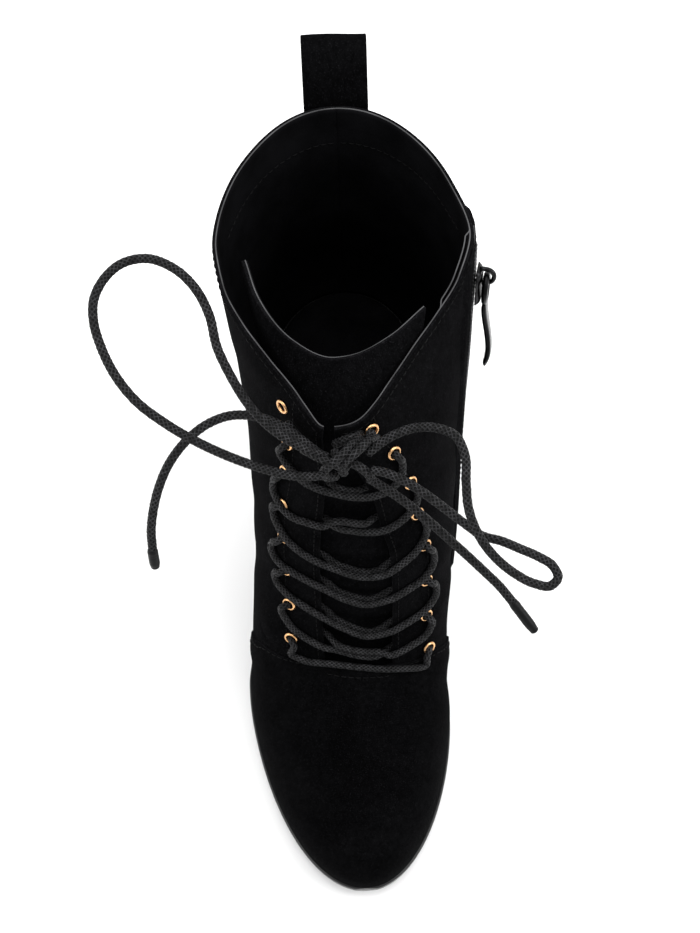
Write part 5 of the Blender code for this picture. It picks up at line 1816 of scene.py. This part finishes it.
class BOOT_OT_zip(bpy.types.Operator):
    """Makes the zip: its tape, both rows of teeth, the guards beside it, the slider and the pull."""

    bl_idname = "boot.zip"
    bl_label = "Zip"

    def execute(self, context):
        rows, columns = TAPE_GRID
        across = np.linspace(-TAPE_HALF, TAPE_HALF, columns)[None, :]
        face, _ = zip_points(np.linspace(TAPE_START, ZIP_LENGTH, rows)[:, None], across, TAPE_LIFT)
        cloth = [finish_for("tape")] * 3
        slab_piece("zip_tape", face[:, ::-1], TAPE, cloth, nodes=["zip_chain"], slot="zip_gunmetal")
        points, faces, index, _ = join_parts([row_of_teeth(side, size("tooth")) for side in (-1, 1)])
        mesh = mesh_of("zip_teeth", to_world(points), faces, index)
        add_piece("zip_teeth", mesh, [finish_for("zip")], nodes=["zip_chain"], slot="zip_gunmetal")
        for side, name in ((-1, "front"), (1, "back")):
            self.guard(side, name)
        self.slider()
        self.pull()
        return {"FINISHED"}

    def guard(self, side, name):
        """A suede guard beside the teeth: its crown falls to the boot's face by a smooth step, with the pale
        edge of its backing beside the teeth near the collar."""
        rows, columns = GUARD_GRID
        u = np.linspace(0, 1, columns)[None, :]
        across = side * (GUARD_NEAR + (GUARD_FAR - GUARD_NEAR) * u)
        first = below_collar(across, GUARD_DROP)
        down = first + (ZIP_LENGTH + GUARD_PAST - first) * np.linspace(0, 1, rows)[:, None]
        fall = ease((u - GUARD_FALL) / (1 - GUARD_FALL))
        crown = GUARD_CROWN * (1 - fall) + GUARD_FOOT * fall - GUARD_DIP * (1 - ease(u / 0.1))
        face, _ = zip_points(down, across, crown)
        if side > 0:
            face = face[:, ::-1]
        slab_piece(f"zip_guard_{name}", face, GUARD, suede_set(), slot="suede_black")
        start = below_collar(np.array([side * GUARD_NEAR]), 0.2)[0]
        run = np.linspace(start, start + GUARD_EDGE, 120)
        fade = ease((run - start - GUARD_EDGE + GUARD_FADE) / GUARD_FADE)
        line, _ = zip_points(run, side * (GUARD_NEAR - 0.05), TAPE_LIFT - 0.5 * fade)
        edge_piece(f"zip_edge_line_{name}", line, "suede_black")

    def slider(self):
        """The slider: a body that narrows to four fifths at its foot, with a dome that falls off by the fifth
        and eighth powers across and along it, and a wire arch whose height follows a root of a sine."""
        axes = zip_axes(HINGE_PLACE, SLIDER_SEAT)
        u = np.linspace(-1, 1, 41)[:, None]
        v = np.linspace(-1, 1, 25)[None, :]
        width = SLIDER_WIDTH_HALF * (0.80 + 0.20 * ease((u + 0.2) / 0.8)) * (1 - 0.22 * np.abs(u) ** 6)
        x = width * np.sign(v) * np.abs(v) ** 0.9
        y = SLIDER_HALF * u * (1 - 0.04 * v**2) - SLIDER_DROP
        dome = (1 - np.abs(v) ** 5) * (1 - np.abs(u) ** 8)
        top = np.stack([x + 0 * u, y + 0 * v, SLIDER_RIM + SLIDER_DOME * dome + 0 * x], 2)
        base = top.copy()
        base[..., 2] = 0.02
        parts = shell_parts(top, base)
        t = np.linspace(0, math.pi, 40)
        rise = ARCH_ROOT + (ARCH_RISE - ARCH_ROOT) * np.sin(t) ** 0.55
        arch = np.stack([0 * t, ARCH_REACH * np.cos(t), rise], 1)
        parts.append(tube_parts(arch, ARCH_WIRE, 14, (1, 0, 0)))
        self.place("zip_slider_body", parts, axes, BOOT, ["zip_slider"], "slider")

    def pull(self):
        """The pull: a pear shaped eye on the arch and a tab that bends away from the boot and back. The tab's
        width swells at both ends by a cosine, and its edges thin by high powers."""
        axes = zip_axes(HINGE_PLACE, SLIDER_SEAT) @ Matrix.Translation((0.0, 0.0, HINGE_HEIGHT * MM))
        turn = circle(72)
        wide = EYE_WIDTH * np.sin(turn) * (1 + 0.14 * np.cos(turn))
        eye = np.stack([wide, EYE_LENGTH * (np.cos(turn) - 1), 0 * turn], 1)
        parts = [self.ring_parts(eye, EYE_WIRE, 16)]
        v = np.linspace(0, 1, 90)[:, None]
        u = np.linspace(-1, 1, 21)[None, :]
        half = 3.1 + 0.5 * np.cos(v * math.tau) - 0.9 * ease((v - 0.9) / 0.1)
        x = half * u
        y = -TAB_START - TAB_LENGTH * v + 0 * u
        z = 2.6 * ease(v / 0.8) - 0.8 * ease((v - 0.8) / 0.2) - 0.10 * u**2 + 0 * x
        thick = TAB_HALF_THICK * (1 - 0.55 * np.abs(u) ** 8) * (1 - 0.5 * np.abs(2 * v - 1) ** 16)
        top = np.stack([x, y, z + thick], 2)
        low = np.stack([x, y, z - thick], 2)
        parts += shell_parts(top, low, flip=True)
        self.place("zip_pull_tab", parts, axes, PULL_TAB, ["zip_pull"], "pull")

    def ring_parts(self, loop, radius, around):
        """A closed ring of wire: each point at the loop's point plus the radius turned round its tangent."""
        tangent = unit(np.roll(loop, -1, 0) - np.roll(loop, 1, 0))
        across = unit(np.cross(tangent, (0, 0, 1)))
        up = np.cross(tangent, across)
        angle = circle(around)
        turn = np.cos(angle)[None, :, None] * across[:, None] + np.sin(angle)[None, :, None] * up[:, None]
        rings = loop[:, None] + turn * radius
        return rings, quads(len(loop), around, close_rows=True, close_cols=True), 0, None

    def place(self, name, parts, axes, body, nodes, finish):
        """Parts in the zip's own axes as one piece in the frame."""
        points, faces, index, _ = join_parts(parts)
        mesh = mesh_of(name, points * MM, faces, index)
        mesh.transform(axes)
        weld(mesh, 1e-6)
        add_piece(name, mesh, [finish_for(finish)], body=body, nodes=nodes, slot="zip_gunmetal")


# Pull loop


class BOOT_OT_pull_loop(bpy.types.Operator):
    """Folds the suede tape loop behind the collar, with a shallow sine wave over the tape."""

    bl_idname = "boot.pull_loop"
    bl_label = "Pull Loop"

    def execute(self, context):
        route = np.array([(0.0, s, z) for s, z in LOOP_PATH])
        path = flowing(route, 0.8)
        half = LOOP_WIDTH / 2
        u = np.linspace(-1, 1, 31)[None, :]
        tangent = unit(np.gradient(path, axis=0))
        out = np.cross(tangent, (1, 0, 0))
        sag = 0.25 * np.sin(u * 2.2 + lengths_along(path)[:, None] / 9.0)
        face = path[:, None] + np.array([1.0, 0, 0]) * (half * u)[..., None] + out[:, None] * sag[..., None]
        face = face + out[:, None] * (LOOP_TAPE / 2)
        options = {"nodes": ["pull_loop"], "slot": "suede_black", "bulge": 0.2}
        slab_piece("pull_tape", face, LOOP_TAPE, suede_set(), **options)
        return {"FINISHED"}


# Stitching


# Rings along a stitch and points round it, and the share of the pitch that its thread covers.
STITCH_STEPS = 7
STITCH_SIDES = 6
STITCH_SHARE = 0.84


def stitch_parts(path, normal, pitch, radius):
    """A row of stitches: each a short thread that rises out of the suede and dives back by a half wave."""
    along = lengths_along(path)
    count = max(int(along[-1] / pitch), 1)
    middle = (np.arange(count) + 0.5) * along[-1] / count
    steps, around = STITCH_STEPS, STITCH_SIDES
    t = np.linspace(-0.5, 0.5, steps)
    places = middle[:, None] + t[None, :] * pitch * STITCH_SHARE
    line = sampled(places, along, path)
    out = unit(sampled(places, along, normal))
    rise = radius * 1.5 * np.cos(t * math.pi) ** 0.6 - radius * 0.9
    line = line + out * rise[None, :, None]
    tangent = unit(np.gradient(line, axis=1))
    across = unit(np.cross(tangent, out))
    angle = circle(around)
    turn = np.cos(angle)[:, None] * across[:, :, None] + np.sin(angle)[:, None] * out[:, :, None]
    size_along = radius * (1 - 0.5 * np.abs(2 * t) ** 4)
    rings = line[:, :, None] + turn * size_along[None, :, None, None]
    tube = quads(steps, around, close_cols=True)
    ends = np.array([[0, 1, 2, 3], [0, 3, 4, 5]])
    single = np.vstack([tube, ends[:, ::-1], ends + (steps - 1) * around])
    faces = (single[None] + (np.arange(count) * steps * around)[:, None, None]).reshape(-1, 4)
    return rings.reshape(-1, around, 3), faces, 0, None


# Rows of stitches: distances from a facing's edge, levels of the collar's row outside and inside, length of
# the one inside, distance from the strap's edge, and place across the zip with its lift.
FACING_ROWS = (2.0, 14.5)
COLLAR_ROW = 0.985
LINING_ROW = 0.87
LINING_ROW_LENGTH = 62.0
STRAP_MARGIN = 1.6
GUARD_ROWS = ((5.2, 1.25), (9.4, 0.45))


class BOOT_OT_stitching(bpy.types.Operator):
    """Sews the facings, the collar, the vamp's edge, the back strap, the zip guards and the lining."""

    bl_idname = "boot.stitching"
    bl_label = "Stitching"

    def execute(self, context):
        pitch, radius = size("stitch"), size("thread") / 2
        rows = {"facing": [], "collar": [], "vamp": [], "strap": [], "zip": [], "lining": []}

        def sew(group, line):
            rows[group].append(stitch_parts(*line, pitch, radius))

        self.sew_upper(sew)
        self.sew_strap_and_zip(sew)
        for group, parts in rows.items():
            points, faces, *_ = join_parts(parts)
            name = f"stitches_{group}"
            add_piece(name, mesh_of(name, to_world(points), faces), [finish_for("thread")], slot="lace_black")
        return {"FINISHED"}

    def sew_upper(self, sew):
        """Rows beside both facings, inside and outside the collar, and round the vamp's edge."""
        levels = np.linspace(THROAT_LEVEL + 0.004, COLLAR_ROW, 300)
        for side in (-1, 1):
            for inset in FACING_ROWS:
                sew("facing", dressed(levels, side * (FORM.facing_arc(levels, side) + inset)))
            end = FORM.end(LINING_ROW, side)
            arcs = side * np.linspace(end - LINING_ROW_LENGTH, end - 1.0, 200)
            line, normal = dressed(LINING_ROW + 0.02 * np.linspace(1, 0, 200) ** 2, arcs, -WALL)
            sew("lining", (line, -normal))
            start, end = FORM.facing_arc(COLLAR_ROW, side)[0] + 2.0, FORM.end(COLLAR_ROW, side) - 8.0
            sew("collar", dressed(np.full(400, COLLAR_ROW), side * np.linspace(start, end, 400)))
            levels_down = vamp_levels(300)
            sew("vamp", dressed(levels_down, side * (seam_arc(levels_down, side) - 2.0), VAMP_LAP))
        left, right = (side * (FORM.facing_arc(THROAT_LEVEL, side)[0] - 1) for side in (-1, 1))
        sew("vamp", dressed(np.full(80, THROAT_LEVEL - 0.012), np.linspace(left, right, 80), VAMP_LAP))

    def sew_strap_and_zip(self, sew):
        """Rows along both sides of the back strap and of each zip guard."""
        levels = np.linspace(0.02, 0.97, 300)
        down = np.linspace(0.0, ZIP_LENGTH + 2.0, 400)
        for sign in (-1, 1):
            half = strap_half(levels) - STRAP_MARGIN
            points = FORM.behind(levels, sign * half)
            step = FORM.behind(levels, sign * (half - 1.0)) - points
            normal = unit(np.cross(step, np.gradient(points, axis=0)) * sign)
            sew("strap", (points + normal * (STRAP + relief(points, levels))[:, None], normal))
            for across, lift in GUARD_ROWS:
                sew("zip", zip_points(down, sign * across, lift))


class BOOT_PT_panel(bpy.types.Panel):
    """Lists the boot's pieces."""

    bl_idname = "BOOT_PT_panel"
    bl_label = "Lace Up Ankle Boot"
    bl_space_type = "VIEW_3D"
    bl_region_type = "UI"
    bl_category = "Boot"

    def draw(self, context):
        for group in (context.scene.boot_sizes, context.scene.boot_colours):
            for name in group.__annotations__:
                self.layout.prop(group, name)
        for operator in OPERATORS:
            self.layout.operator(operator.bl_idname)


OPERATORS = (
    BOOT_OT_stage, BOOT_OT_free_laces, BOOT_OT_lacing, BOOT_OT_knot, BOOT_OT_sole, BOOT_OT_heel,
    BOOT_OT_upper, BOOT_OT_lining, BOOT_OT_tongue, BOOT_OT_eyelets, BOOT_OT_zip, BOOT_OT_pull_loop,
    BOOT_OT_stitching,
)
CLASSES = (BootSizes, BootColours, *OPERATORS, BOOT_PT_panel)


def register():
    """Adds the sizes, the colours, the operators and the panel to Blender."""
    for item in CLASSES:
        bpy.utils.register_class(item)
    bpy.types.Scene.boot_sizes = bpy.props.PointerProperty(type=BootSizes)
    bpy.types.Scene.boot_colours = bpy.props.PointerProperty(type=BootColours)


def unregister():
    """Takes them out again."""
    del bpy.types.Scene.boot_colours
    del bpy.types.Scene.boot_sizes
    for item in reversed(CLASSES):
        bpy.utils.unregister_class(item)


def main():
    """Runs every operator in turn."""
    register()
    for operator in OPERATORS:
        group, action = operator.bl_idname.split(".")
        getattr(getattr(bpy.ops, group), action)()


if __name__ == "__main__":
    main()
